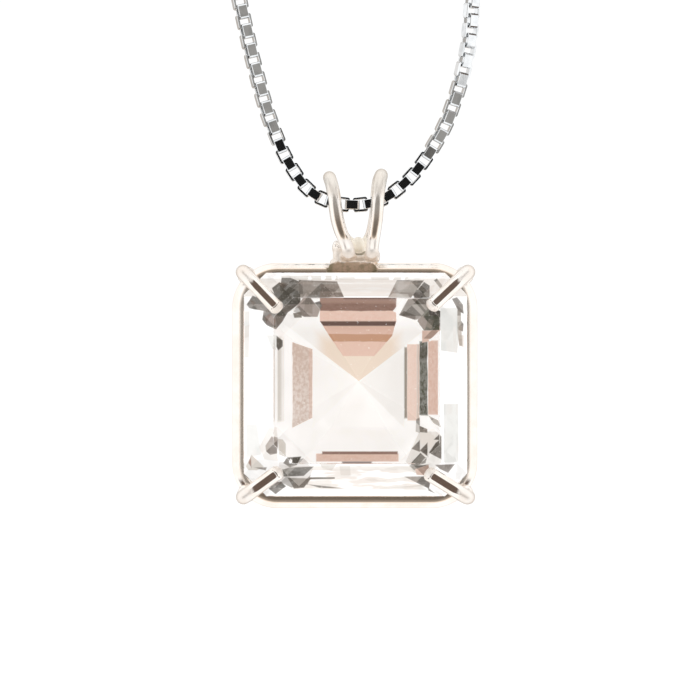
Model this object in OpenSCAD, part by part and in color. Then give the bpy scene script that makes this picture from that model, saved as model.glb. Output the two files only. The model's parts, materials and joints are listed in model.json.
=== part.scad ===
// Square step-cut quartz pendant on a fine box chain, hanging as a whole necklace.
// The origin is the hanging point at the top of the loop. +Z is up and the stone faces -Y.

/* [Stone] */
// Width of the square stone across its girdle
stone_w = 15; // [14.6:0.1:15.4]
// Length taken off each side of the girdle by a cut corner
corner_cut = 1.5; // [1.3:0.1:1.8]
// Width of the flat table on the front
table_w = 11.1; // [10:0.1:12]
// Height of the crown, from the girdle to the table
crown_h = 1.55; // [1.3:0.05:1.7]
// Thickness of the girdle
girdle_t = 0.4; // [0.3:0.05:0.5]
// Depth of the pavilion, from the girdle to the culet
pavilion_h = 8.4; // [7.6:0.1:8.8]

/* [Setting] */
// Wire of the two rails that run round the stone
rail_wire = 0.9; // [0.8:0.05:1]
// Wire of the four posts, whose front ends are the claws
claw_wire = 1; // [0.9:0.05:1.1]
// Wire of the double-loop bail
bail_wire = 0.78; // [0.7:0.02:0.84]
// Depth of the basket, from the front rail to the back rail
basket_h = 4.5; // [4:0.1:5]
// Half width of the smaller back rail
back_half = 5.6; // [5.4:0.1:5.8]

/* [Chain] */
// Outer width of a chain link
chain_w = 1; // [0.8:0.05:1.05]
// Height of the loop, from its lowest point up to the hanging point
loop_drop = 205.3; // [205.3:0.1:205.3]
// Drop from the loop's lowest point to the centre of the stone
stone_drop = 12.08; // [12:0.01:12.12]
// Outer width of the ring clasp
clasp_w = 6; // [5.8:0.1:6.2]

/* [Hidden] */
$fn = 48;

// The girdle lies this far in front of the chain, so that the stone hangs upright
girdle_y = -1.5;
stone_z = -loop_drop - stone_drop;

// Levels of the cut stone, from the table back to the culet:
// depth behind the girdle, half width, corner cut, and shift of the level's centre to the right and up
DEPTH = 0;
HALF = 1;
CUT = 2;
SHIFT_X = 3;
SHIFT_Z = 4;
girdle_half = stone_w / 2;
crown_step = 0.52;
levels = [
    [-girdle_t / 2 - crown_h, table_w / 2, corner_cut * 0.87, 0.07, 0.25],
    [-girdle_t / 2 - crown_h * crown_step, girdle_half * 0.89, corner_cut * 0.93, 0.05, 0.15],
    [-girdle_t / 2, girdle_half, corner_cut, 0, 0],
    [girdle_t / 2, girdle_half, corner_cut, 0, 0],
    [girdle_t / 2 + pavilion_h * 0.47, girdle_half * 0.625, corner_cut * 1.05, 0.12, 0.15],
    [girdle_t / 2 + pavilion_h * 0.68, girdle_half * 0.415, corner_cut * 0.85, 0.18, 0.22],
];
culet = [0.2, girdle_t / 2 + pavilion_h, 0.25];

// How much slimmer a straight stretch of wire is than its bends, and how far it runs into them
slim = 0.96;
sunk = 0.12;

// Rails: centrelines of two rounded squares, the front one just behind the girdle
rail_half = girdle_half + rail_wire / 3;
rail_corner = 2.6;
rail_y = girdle_t / 2 + 0.56;
back_corner = 2.2;
back_y = rail_y + basket_h;

// Posts: in the plane through a corner, from the foot behind the back rail, out to the elbow and over
// the crown to the tip. A post overlaps each rail, as its solder does.
solder = 0.25;
post_out = rail_wire / 2 + claw_wire / 2 - solder;
front_reach = (rail_half - rail_corner) * sqrt(2) + rail_corner + post_out;
back_reach = (back_half - back_corner) * sqrt(2) + back_corner + post_out;
post_lean = (front_reach - back_reach) / (back_y - rail_y);
foot_y = back_y + 0.75;
foot = [back_reach - post_lean * (foot_y - back_y), foot_y];
crown_slope = 0.662;
elbow = [front_reach + 0.25, -0.16 - (claw_wire - 1) / 2];
elbow_bend = 0.9;
// Turn of each corner about the stone's axis, and how far from the axis its claw ends
CORNERS = [[45, 8.05], [135, 7.9], [225, 8.3], [315, 8.4]];

// Bail: two ears of one wire, each from its front tip, up, over the chain and down its back leg to
// the bend in the middle of the tab. Places are from the stone's centre, with y from the chain.
bail_bend = 1.6;
EARS = [
    [[-0.6, -1.35, 8.95], [-1.95, -1.95, 13.9], [-1.6, 2.2, 13.9], [0.05, 0.35, 9.1]],
    [[0.98, -1.35, 8.95], [1.8, -1.95, 14.05], [1.2, 2.2, 14.05], [0.3, 0.35, 9.1]],
];
// Solder tab under the bail, as a front outline of corner points
tab_t = 1.6;
tab_y = girdle_t / 2 + 0.1;
tab = [[-1.8, 7.6], [1.6, 7.6], [1.6, 8.5], [1.2, 9.05], [-1, 9.15], [-1.8, 8.6]];

// Chain route from the loop's lowest point, as x and z: the left strand down to the lowest point,
// then the right strand up. Above the two hand-laid stretches the strands mirror each other.
low_left = [
    [-7.85, 14], [-7.55, 12.6], [-7.25, 11.25], [-6.95, 9.95], [-6.6, 8.6], [-6.25, 7.3],
    [-5.85, 6], [-5.35, 4.7], [-4.8, 3.4], [-4.1, 2.2], [-3.35, 1.2], [-2.4, 0.5], [-1.2, 0.1],
];
low_right = [
    [1.2, 0.15], [2.1, 0.55], [2.95, 1.15], [3.85, 2], [4.7, 3.1], [5.4, 4.2], [6.05, 5.4],
    [6.55, 6.7], [7, 8.1], [7.35, 9.55], [7.6, 10.8], [7.75, 12.2], [7.9, 14],
];
high = [
    [8.4, 17], [9.4, 23], [11, 34], [13.5, 50], [16.5, 70], [19.6, 90], [22.6, 110], [25.7, 130],
    [28.75, 150], [31.5, 168], [32, 173.3], [31.7, 177.75], [30.75, 182.1], [29.25, 186.3],
    [27.15, 190.25], [24.5, 193.85], [21.4, 197.1], [17.9, 199.85], [14.05, 202.05],
    [9.9, 203.75], [7.4, 204.45],
];
lowest = len(high) + len(low_left);
route = concat(
    [for (i = [len(high) - 1:-1:0]) [-high[i][0], high[i][1]]], low_left, [[0, 0]], low_right, high
);
chain_sides = 8;
chain_r = chain_w / 2 / cos(180 / chain_sides);

// Chain ends and clasp: distances along the line of the chain from the hanging point
eye_wire = 0.5;
eye_r = 0.95;
cap_w = 1.7;
cap_l = 2.4;
cap_start = eye_r + 0.05;
ring_wire = 1;
ring_r = (clasp_w - ring_wire) / 2;
play = 0.1;
eye_to_eye = 2 * eye_r - eye_wire - play;
eye_to_ring = eye_r + ring_r + (eye_wire + ring_wire) / 2 - 0.3;
ring_to_eye = ring_r + eye_r - (eye_wire + ring_wire) / 2 - play;
eye_x = (eye_to_eye + eye_to_ring + ring_to_eye) / 2;
eye_z = -0.24;
cap_dip = 10;

function unit(v) = v / norm(v);

// Direction of the route at point i, from its neighbours
function heading(i) = unit(route[min(i + 1, len(route) - 1)] - route[max(i - 1, 0)]);

// One ring of the swept chain, round point i of the route
function chain_ring(i) =
    let (t = heading(i))
    [for (k = [0:chain_sides - 1])
        let (a = (k + 0.5) * 360 / chain_sides)
        [route[i][0] - t[1] * chain_r * cos(a), chain_r * sin(a), route[i][1] + t[0] * chain_r * cos(a)]];

// Corners of one level of the stone, clockwise as seen from the front
function level_corners(l) =
    let (h = l[HALF], c = l[HALF] - l[CUT])
    [for (p = [[-c, h], [c, h], [h, c], [h, -c], [c, -h], [-c, -h], [-h, -c], [-h, c]])
        [p[0] + l[SHIFT_X], l[DEPTH], p[1] + l[SHIFT_Z]]];

// Places a child drawn with x, y and z axes on the given directions at a point
module on_axes(x, y, z, at) {
    multmatrix([
        [x[0], y[0], z[0], at[0]],
        [x[1], y[1], z[1], at[1]],
        [x[2], y[2], z[2], at[2]],
        [0, 0, 0, 1],
    ]) children();
}

// Stretch of round wire from one point to another, with its far end rounded if asked
module straight(from, to, r, rounded) {
    z = unit(to - from);
    x = unit(cross(abs(z[0]) < 0.9 ? [1, 0, 0] : [0, 1, 0], z));
    l = norm(to - from);
    tip = rounded ? [for (a = [15:15:90]) [r * cos(a), l + r * sin(a)]] : [[0, l]];
    on_axes(x, cross(z, x), z, from) rotate_extrude() polygon(concat([[0, 0], [r, 0], [r, l]], tip));
}

// Round wire through a list of corner points, each bent to the same radius, with rounded ends. The
// straight stretches are a hair slimmer and run a little way into the bends.
module bent_wire(points, bend, r) {
    last = len(points) - 1;
    u = [for (i = [0:last - 1]) unit(points[i + 1] - points[i])];
    turn = [for (i = [0:last]) i == 0 || i == last ? 0 : acos(u[i - 1] * u[i])];
    trim = [for (t = turn) t == 0 ? 0 : bend * tan(t / 2) - sunk];
    for (i = [0:last - 1]) {
        a = points[i] + u[i] * trim[i];
        b = points[i + 1] - u[i] * trim[i + 1];
        if (i == 0) straight(b, a, r * slim, true);
        else straight(a, b, r * slim, i == last - 1);
    }
    for (i = [1:last - 1]) {
        n = unit(cross(u[i - 1], u[i]));
        inward = cross(n, u[i - 1]);
        on_axes(-inward, u[i - 1], n, points[i] - u[i - 1] * (trim[i] + sunk) + inward * bend)
            rotate_extrude(angle = turn[i]) translate([bend, 0]) circle(r);
    }
}

// Rounded-square ring of round wire, facing the front
module rail(half, corner, r, y) {
    run = half - corner;
    translate([0, y, 0]) rotate([90, 0, 0])
        for (a = [0:90:270]) rotate(a) {
            translate([half, -run, 0]) rotate([-90, 0, 0]) cylinder(r = r, h = 2 * run);
            translate([run, run, 0]) rotate_extrude(angle = 90) translate([corner, 0]) circle(r);
        }
}

// Post and claw of one corner
module claw(corner) {
    tip = [corner[1], elbow[1] - (elbow[0] - corner[1]) * crown_slope];
    path = [for (p = [foot, elbow, tip]) [p[0] * cos(corner[0]), p[1], p[0] * sin(corner[0])]];
    bent_wire(path, elbow_bend, claw_wire / 2);
}

// Places the pendant's own parts, which are drawn from the stone's centre
module hung() {
    translate([0, girdle_y, stone_z]) children();
}

// Small ring in the given turn about the line of the chain
module eye(turn) {
    rotate([turn, 0, 0]) rotate_extrude() translate([eye_r, 0]) circle(d = eye_wire);
}

module setting() {
    color("#e3d6c8") hung() {
        rail(rail_half, rail_corner, rail_wire / 2, rail_y);
        rail(back_half, back_corner, rail_wire / 2, back_y);
        for (corner = CORNERS) claw(corner);
        translate([0, tab_y + tab_t, 0]) rotate([90, 0, 0]) linear_extrude(tab_t) polygon(tab);
        translate([0, -girdle_y, 0]) for (ear = EARS) bent_wire(ear, bail_bend, bail_wire / 2);
    }
}

module stone() {
    rings = [for (l = levels) each level_corners(l)];
    n = len(levels);
    color("#f3eeec", 0.5) hung() polyhedron(
        concat(rings, [culet]),
        concat(
            [[for (k = [0:7]) k]],
            [for (i = [0:n - 2], k = [0:7])
                [i * 8 + k, (i + 1) * 8 + k, (i + 1) * 8 + (k + 1) % 8, i * 8 + (k + 1) % 8]],
            [for (k = [0:7]) [(n - 1) * 8 + k, n * 8, (n - 1) * 8 + (k + 1) % 8]]
        )
    );
}

// Swept stretch of the chain from one point of the route to another
module strand(first, last) {
    n = last - first;
    color("#b9bcc0") translate([0, 0, -loop_drop]) polyhedron(
        [for (i = [first:last]) each chain_ring(i)],
        concat(
            [[for (k = [0:chain_sides - 1]) k]],
            [for (i = [0:n - 1], k = [0:chain_sides - 1])
                let (q = (k + 1) % chain_sides, s = chain_sides)
                [i * s + k, (i + 1) * s + k, (i + 1) * s + q, i * s + q]],
            [[for (k = [chain_sides - 1:-1:0]) n * chain_sides + k]]
        )
    );
}

module chain_left() {
    strand(0, lowest);
}

module chain_right() {
    strand(lowest, len(route) - 1);
}

// Drum that grips the end of the chain, with the eye that the clasp goes through
module end_cap(side) {
    color("#c4c6c9") translate([side * eye_x, 0, eye_z]) rotate([0, side * cap_dip, 0]) {
        eye(0);
        translate([side > 0 ? cap_start : -cap_start - cap_l, 0, 0])
            rotate([0, 90, 0]) cylinder(d = cap_w, h = cap_l);
    }
}

module end_cap_left() {
    end_cap(-1);
}

module end_cap_right() {
    end_cap(1);
}

module clasp() {
    color("#c4c6c9") {
        translate([eye_x - ring_to_eye, 0, 0]) {
            rotate([90, 0, 0]) rotate_extrude() translate([ring_r, 0]) circle(d = ring_wire);
            rotate([0, 35, 0]) translate([0, 0, ring_r]) cylinder(d = 0.8, h = 1.1);
        }
        translate([eye_to_eye - eye_x, 0, 0]) eye(90);
    }
}

setting();
stone();
chain_left();
chain_right();
end_cap_left();
end_cap_right();
clasp();
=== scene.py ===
"""Looks of a square quartz pendant on a fine box chain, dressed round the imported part.

Lengths in the classes are millimetres, as a maker gives them, and SCALE turns them into the frame's metres.
Places on the pendant are from the centre of the stone's girdle: x to the right, y away from the viewer, z up.
"""

import json
import logging
import math
import random
from collections.abc import Callable, Sequence
from dataclasses import dataclass
from enum import Enum
from functools import reduce
from typing import ClassVar

import bmesh
import bpy
import numpy as np
from mathutils import Matrix, Vector

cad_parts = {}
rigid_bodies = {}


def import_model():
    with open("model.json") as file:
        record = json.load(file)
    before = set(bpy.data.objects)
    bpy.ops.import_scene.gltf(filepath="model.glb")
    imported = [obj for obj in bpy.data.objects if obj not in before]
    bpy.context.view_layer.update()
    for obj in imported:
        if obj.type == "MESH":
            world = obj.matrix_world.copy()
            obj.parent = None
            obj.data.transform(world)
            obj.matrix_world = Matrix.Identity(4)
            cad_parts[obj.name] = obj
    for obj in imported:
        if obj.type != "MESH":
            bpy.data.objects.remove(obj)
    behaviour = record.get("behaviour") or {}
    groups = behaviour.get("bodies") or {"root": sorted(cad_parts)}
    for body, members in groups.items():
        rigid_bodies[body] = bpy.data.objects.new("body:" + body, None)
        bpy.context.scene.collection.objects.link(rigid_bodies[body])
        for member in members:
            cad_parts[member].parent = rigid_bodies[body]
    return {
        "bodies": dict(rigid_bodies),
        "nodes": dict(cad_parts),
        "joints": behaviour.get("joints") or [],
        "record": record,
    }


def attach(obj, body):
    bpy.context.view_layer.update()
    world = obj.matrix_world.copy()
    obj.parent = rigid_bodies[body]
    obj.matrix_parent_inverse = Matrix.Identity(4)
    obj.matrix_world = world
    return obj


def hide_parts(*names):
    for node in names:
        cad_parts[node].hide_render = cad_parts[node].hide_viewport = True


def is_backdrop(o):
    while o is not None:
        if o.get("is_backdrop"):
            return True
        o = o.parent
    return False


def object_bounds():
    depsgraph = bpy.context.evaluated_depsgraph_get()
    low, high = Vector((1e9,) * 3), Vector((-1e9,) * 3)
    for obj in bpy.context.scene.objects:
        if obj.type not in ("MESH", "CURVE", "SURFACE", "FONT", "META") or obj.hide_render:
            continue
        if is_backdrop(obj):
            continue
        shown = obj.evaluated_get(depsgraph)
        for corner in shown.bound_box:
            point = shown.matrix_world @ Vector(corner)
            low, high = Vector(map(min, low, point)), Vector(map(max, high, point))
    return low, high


LOG = logging.getLogger("quartz_pendant")
SCALE = 0.001
GIRDLE = (0.0, -1.5, -217.38)  # centre of the stone's girdle, from the hanging point
HAIR = 0.035  # softness of a drawn edge

Point = tuple[float, float, float]
Colour = tuple[float, float, float]
Edge = tuple[float, float]  # where a mask is 0, and where it is 1
Band = tuple[float, float, float]  # both ends of a stretch, and their softness
BLACK: Colour = (0.0, 0.0, 0.0)
HANGING_POINT: Point = (0.0, 0.0, 0.0)


class Body(Enum):
    """The two bodies of the part that pieces ride on."""

    NECKLACE = "necklace"
    PENDANT = "pendant"


class Slot(Enum):
    """The record's material slots, by name."""

    WARM_METAL = "warm_metal"
    SILVER = "silver"


class Side(Enum):
    """The two strands of the chain, by the sign of x."""

    LEFT = -1
    RIGHT = 1


# Shader maths


class Signal:
    """A shader value that takes part in Python arithmetic by adding Math nodes to its graph."""

    def __init__(self, graph: "Graph", socket: bpy.types.NodeSocket) -> None:
        """Wraps an output socket of the graph."""
        self.graph = graph
        self.socket = socket

    def math(self, operation: str, *others: "Signal | float", swap: bool = False) -> "Signal":
        """Adds one Math node.

        Args:
            operation: The node's operation.
            others: Its second and third values.
            swap: Puts this signal after the first of the others.

        Returns:
            The node's result.
        """
        values: list[Signal | float] = [self, *others]
        if swap:
            values[0], values[1] = values[1], values[0]
        return self.graph.add("ShaderNodeMath", {"operation": operation}, dict(enumerate(values)))

    def __add__(self, other: "Signal | float") -> "Signal":
        """The sum of two signals."""
        return self.math("ADD", other)

    __radd__ = __add__

    def __sub__(self, other: "Signal | float") -> "Signal":
        """This signal less another."""
        return self.math("SUBTRACT", other)

    def __rsub__(self, other: float) -> "Signal":
        """A number less this signal."""
        return self.math("SUBTRACT", other, swap=True)

    def __mul__(self, other: "Signal | float") -> "Signal":
        """The product of two signals."""
        return self.math("MULTIPLY", other)

    __rmul__ = __mul__

    def __truediv__(self, other: "Signal | float") -> "Signal":
        """This signal over another."""
        return self.math("DIVIDE", other)

    def __rtruediv__(self, other: float) -> "Signal":
        """A number over this signal."""
        return self.math("DIVIDE", other, swap=True)

    def __abs__(self) -> "Signal":
        """The signal without its sign."""
        return self.math("ABSOLUTE")

    def __or__(self, other: "Signal | float") -> "Signal":
        """The larger of two signals, which joins two masks."""
        return self.math("MAXIMUM", other)

    __ror__ = __or__

    def __and__(self, other: "Signal | float") -> "Signal":
        """The smaller of two signals, where both masks hold."""
        return self.math("MINIMUM", other)

    __rand__ = __and__

    def rise(self, start: float, end: float) -> "Signal":
        """Adds a smooth step.

        Args:
            start: Where it is 0, which may be the larger of the two.
            end: Where it is 1.

        Returns:
            The step.
        """
        ends = (start, end, 0.0, 1.0) if start < end else (end, start, 1.0, 0.0)
        return self.graph.add(
            "ShaderNodeMapRange",
            {"interpolation_type": "SMOOTHSTEP"},
            dict(zip(("Value", "From Min", "From Max", "To Min", "To Max"), (self, *ends))),
        )

    def between(self, low: "Signal | float", high: "Signal | float", soft: float) -> "Signal":
        """A mask that is 1 between two limits, with edges of the given softness."""
        return (self - low).rise(-soft, soft) & (self - high).rise(soft, -soft)


@dataclass(frozen=True)
class Spot:
    """The shaded point, in millimetres from an origin: as a vector, and its distances right, back and up."""

    graph: "Graph"
    at: Signal
    x: Signal
    y: Signal
    z: Signal

    def noise(self, scale: float, detail: float, roughness: float = 0.5) -> Signal:
        """Fractal noise, about 0 to 1, at a scale per millimetre."""
        return self.graph.noise(self.at, scale, detail, roughness)

    def stretched(self, by: Point) -> Signal:
        """The point's vector with each distance multiplied."""
        return self.graph.add("ShaderNodeVectorMath", {"operation": "MULTIPLY"}, {0: self.at, 1: by})


class Graph:
    """The nodes of one material or world."""

    def __init__(self, tree: bpy.types.NodeTree) -> None:
        """Starts an empty graph in a node tree."""
        self.tree = tree
        tree.nodes.clear()

    def add(
        self, kind: str, settings: dict | None = None, inputs: dict | None = None, out: str | int = 0
    ) -> Signal:
        """Adds any node.

        Args:
            kind: The node's type.
            settings: Its own settings, set before its sockets.
            inputs: Values or signals, by socket name, identifier or number.
            out: Name, identifier or number of the output.

        Returns:
            That output as a signal.
        """
        node = self.tree.nodes.new(kind)
        for name, value in (settings or {}).items():
            setattr(node, name, value)
        for name, value in (inputs or {}).items():
            target = self.find(node.inputs, name)
            if isinstance(value, Signal):
                self.tree.links.new(value.socket, target)
            else:
                target.default_value = value
        return Signal(self, self.find(node.outputs, out))

    @staticmethod
    def find(sockets: bpy.types.bpy_prop_collection, key: str | int) -> bpy.types.NodeSocket:
        """The socket in use with that name, identifier or number."""
        if isinstance(key, int):
            return sockets[key]
        return next(s for s in sockets if s.enabled and key in (s.identifier, s.name))

    def mix(self, factor: Signal | float, a: Signal | Colour, b: Signal | Colour) -> Signal:
        """Mixes two colours.

        Args:
            factor: Share of the second colour.
            a: First colour.
            b: Second colour.

        Returns:
            The mixed colour.
        """
        a, b = (c if isinstance(c, Signal) else (*c, 1.0) for c in (a, b))
        return self.add(
            "ShaderNodeMix",
            {"data_type": "RGBA"},
            {"Factor_Float": factor, "A_Color": a, "B_Color": b},
            "Result_Color",
        )

    def place(self, origin: Point) -> Spot:
        """Finds the shaded point.

        Args:
            origin: What its distances are measured from, in millimetres in the frame.

        Returns:
            The point.
        """
        moved = self.add(
            "ShaderNodeVectorMath",
            {"operation": "SUBTRACT"},
            {0: self.add("ShaderNodeTexCoord", out="Object"), 1: [v * SCALE for v in origin]},
        )
        scaled = self.add("ShaderNodeVectorMath", {"operation": "SCALE"}, {0: moved, "Scale": 1 / SCALE})
        return Spot(self, scaled, *self.axes(scaled))

    def axes(self, vector: Signal) -> list[Signal]:
        """A vector's x, y and z."""
        return [self.add("ShaderNodeSeparateXYZ", None, {0: vector}, axis) for axis in "XYZ"]

    def noise(self, vector: Signal, scale: float, detail: float, roughness: float = 0.5) -> Signal:
        """Fractal noise, about 0 to 1, at a scale per millimetre."""
        return self.add(
            "ShaderNodeTexNoise", None,
            {"Vector": vector, "Scale": scale, "Detail": detail, "Roughness": roughness},
        )

    def bump(self, height: Signal, distance: float) -> Signal:
        """A Bump node on a height from 0 to 1, with its distance in millimetres."""
        return self.add("ShaderNodeBump", None, {"Height": height, "Distance": distance * SCALE})

    def principled(self, inputs: dict) -> Signal:
        """A Principled shader with those sockets set."""
        return self.add("ShaderNodeBsdfPrincipled", None, inputs)

    def surface(self, shader: Signal, kind: str = "ShaderNodeOutputMaterial") -> None:
        """Makes a shader the graph's result."""
        node = self.tree.nodes.new(kind)
        self.tree.links.new(shader.socket, node.inputs["Surface"])


def new_material(name: str) -> tuple[bpy.types.Material, Graph]:
    """Makes an empty material.

    Args:
        name: Its name.

    Returns:
        The material and its graph.
    """
    material = bpy.data.materials.new(name)
    material.use_nodes = True
    return material, Graph(material.node_tree)


# Finishes


class ReflectionTone(Enum):
    """Colours of the room's reflections, painted on the stone's facets."""

    WHITE = (1.0, 0.995, 0.99)
    MIST = (0.82, 0.81, 0.79)
    PEARL = (0.62, 0.58, 0.53)
    MAUVE = (0.37, 0.315, 0.285)
    GREY = (0.215, 0.185, 0.158)
    SMOKE = (0.13, 0.112, 0.095)
    SOOT = (0.065, 0.058, 0.046)
    INK = (0.025, 0.022, 0.018)
    MOSS = (0.075, 0.08, 0.055)
    LICHEN = (0.29, 0.25, 0.205)
    FOG = (0.66, 0.66, 0.63)
    HAZE = (0.78, 0.735, 0.69)
    CREAM = (0.82, 0.70, 0.59)
    SAND = (0.60, 0.47, 0.40)
    BLUSH = (0.78, 0.60, 0.515)
    ROSE = (0.745, 0.52, 0.43)
    CLAY = (0.65, 0.44, 0.355)
    AMBER = (0.53, 0.30, 0.195)
    PLUM = (0.235, 0.137, 0.105)
    UMBER = (0.12, 0.07, 0.055)


class Coat:
    """A colour over a surface, which others are laid on."""

    def __init__(self, graph: Graph, first: Signal | Colour) -> None:
        """Starts with one colour."""
        self.graph = graph
        self.colour = first

    def lay(self, mask: Signal, over: ReflectionTone | Colour, share: float | Signal = 1.0) -> None:
        """Lays a colour over the one so far.

        Args:
            mask: Where it goes.
            over: The colour.
            share: How much of it covers what is under it.
        """
        colour = over.value if isinstance(over, ReflectionTone) else over
        self.colour = self.graph.mix(mask * share, self.colour, colour)


class Stretch(Enum):
    """Stretches of the setting that differ in finish, or carry painted shade, a painted reflection tint or a
    painted glow.
    """

    SOLDER = "top of the solder tab"
    FACE = "stained face of the tab"
    # Painted shade under the bead, in a ring round it
    CUP = "ring round the bead"
    BEAD = "bead of solder between the bail's legs"
    # Painted shade between the front rail and the stone
    GROOVE = "dark line inside the front rail"
    TIP = "ends of the claws"
    ELBOW = "elbows of the claws"
    LOOP = "bail over the tab"
    CREST = "top of the bail"
    # Painted brown tint on the legs' flats, which colours the dark reflections there
    WORN = "fronts of the bail's legs"
    FOOT = "feet of the legs"
    LOWER = "lower legs"


@dataclass(frozen=True)
class WarmMetal:
    """Pale champagne metal, polished by hand, with faint drawing marks and duller solder. It carries painted
    shade inside the front rail and under the bead, a painted brown tint on the reflections of the bail's
    legs, and a painted glow on the bead.

    Places are from the centre of the stone's girdle.
    """

    bright: Colour = (0.97, 0.92, 0.87)
    tinted: Colour = (0.93, 0.85, 0.775)
    hazed: Colour = (0.84, 0.79, 0.72)
    bead: Colour = (1.0, 0.96, 0.86)
    # Painted glow on the bead, given off as emission
    painted_bead_glow: Colour = (0.13, 0.105, 0.08)
    solder: Colour = (0.80, 0.67, 0.55)
    seam: Colour = (0.95, 0.87, 0.79)
    stained: Colour = (0.50, 0.355, 0.25)
    # Brown of the painted shade inside the rail, also painted over the legs' flats to colour their
    # reflections
    groove: Colour = (0.87, 0.72, 0.59)
    olive: Colour = (0.24, 0.20, 0.12)
    # Tab: its middle and side, and the heights and depths of its solder and its darker brown face
    tab_x: float = -0.24
    tab_side: Edge = (1.8, 1.6)
    solder_foot: Edge = (8.15, 8.3)
    solder_top: Edge = (9.3, 8.9)
    solder_front: Edge = (-0.5, -0.35)
    solder_wander: float = 0.5
    seam_x: float = 0.2
    seam_side: Edge = (1.1, 1.3)
    seam_foot: Edge = (8.45, 8.7)
    face_foot: Edge = (7.4, 7.5)
    face_top: Edge = (8.25, 8.1)
    face_front: Edge = (0.5, 0.42)
    face_x: float = -0.2
    face_side: Edge = (1.15, 1.5)
    # Bead, and the ring of squared radii round it where shade under the bead is painted
    bead_x: float = 0.22
    bead_side: Edge = (0.6, 0.5)
    bead_up: Band = (8.85, 10.0, 0.1)
    bead_back: Band = (0.2, 2.1, 0.1)
    bead_shade_at: tuple[float, float] = (0.2, 9.35)
    bead_shade_ring: Band = (0.3, 0.5, 0.06)
    bead_shade_top: Edge = (9.0, 8.9)
    bead_shade_front: Edge = (0.2, 0.3)
    # Front rail, with painted shade along its inner side, and claws
    rail_shade_back: Band = (0.3, 0.43, 0.02)
    rail_shade_out: Edge = (7.15, 7.25)
    rail_shade_top: Edge = (8.2, 8.15)
    tip_reach: Edge = (7.88, 7.78)
    tip_lift: float = 0.4
    tip_front: Edge = (0.0, -0.3)
    tip_top: Edge = (8.0, 7.9)
    elbow_out: Edge = (6.75, 7.1)
    # Bail: the flat on a worn leg, which takes a painted brown reflection tint, leans back by these shares of
    # its height and of the height's square
    leg_foot: float = 9.75
    leg_top: float = 12.6
    leg_soft: float = 0.15
    leg_lean: tuple[float, float] = (0.064, 0.04)
    leg_front: Edge = (-0.71, -0.75)
    leg_fade: Edge = (12.4, 10.2)
    leg_back: Edge = (0.1, 0.0)
    foot_up: Band = (8.2, 8.95, 0.2)
    foot_seam: Edge = (8.55, 8.75)
    lower_up: Band = (8.2, 9.7, 0.15)
    loop_foot: Edge = (9.3, 9.8)
    crest_foot: Edge = (12.3, 13.0)
    haze_foot: Edge = (12.2, 13.6)
    # Shine
    gloss: float = 0.05
    solder_rough: float = 0.36
    bead_rough: float = 0.4
    relief: float = 0.012
    rougher: ClassVar[dict[Stretch, float]] = {
        Stretch.ELBOW: 0.3, Stretch.LOOP: 0.11, Stretch.TIP: 0.3, Stretch.FOOT: 0.4, Stretch.LOWER: 0.2,
        Stretch.CREST: 0.22,
    }
    less_metal: ClassVar[dict[Stretch, float]] = {
        Stretch.FACE: 0.75, Stretch.SOLDER: 0.45, Stretch.BEAD: 0.92, Stretch.CUP: 0.7, Stretch.FOOT: 0.5,
        Stretch.TIP: 0.6,
    }

    def material(self) -> bpy.types.Material:
        """Builds the finish.

        Returns:
            The material.
        """
        made, g = new_material("warm_metal")
        spot = g.place(GIRDLE)
        cloud = spot.noise(scale=0.9, detail=4)
        marks = spot.noise(scale=26.0, detail=2)
        pits = spot.noise(scale=7.0, detail=3).rise(0.58, 0.72)
        uneven = spot.z + (spot.noise(scale=2.2, detail=3) - 0.5) * self.solder_wander
        on = self._stretches(spot, uneven)
        less = reduce(Signal.__or__, (on[stretch] * share for stretch, share in self.less_metal.items()))
        pitted = pits * (on[Stretch.SOLDER] | on[Stretch.FACE])
        g.surface(g.principled({
            "Base Color": self._colour(spot, uneven, on, cloud, pits),
            "Metallic": 1 - less,
            "Roughness": self._roughness(spot, on, cloud, marks),
            "Emission Strength": 1.0,
            # Painted glow that lights the bead
            "Emission Color": g.mix(on[Stretch.BEAD], BLACK, self.painted_bead_glow),
            "Normal": g.bump(marks * 0.1 + cloud * 0.5 + pitted * -0.8, self.relief),
        }))
        return made

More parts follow.
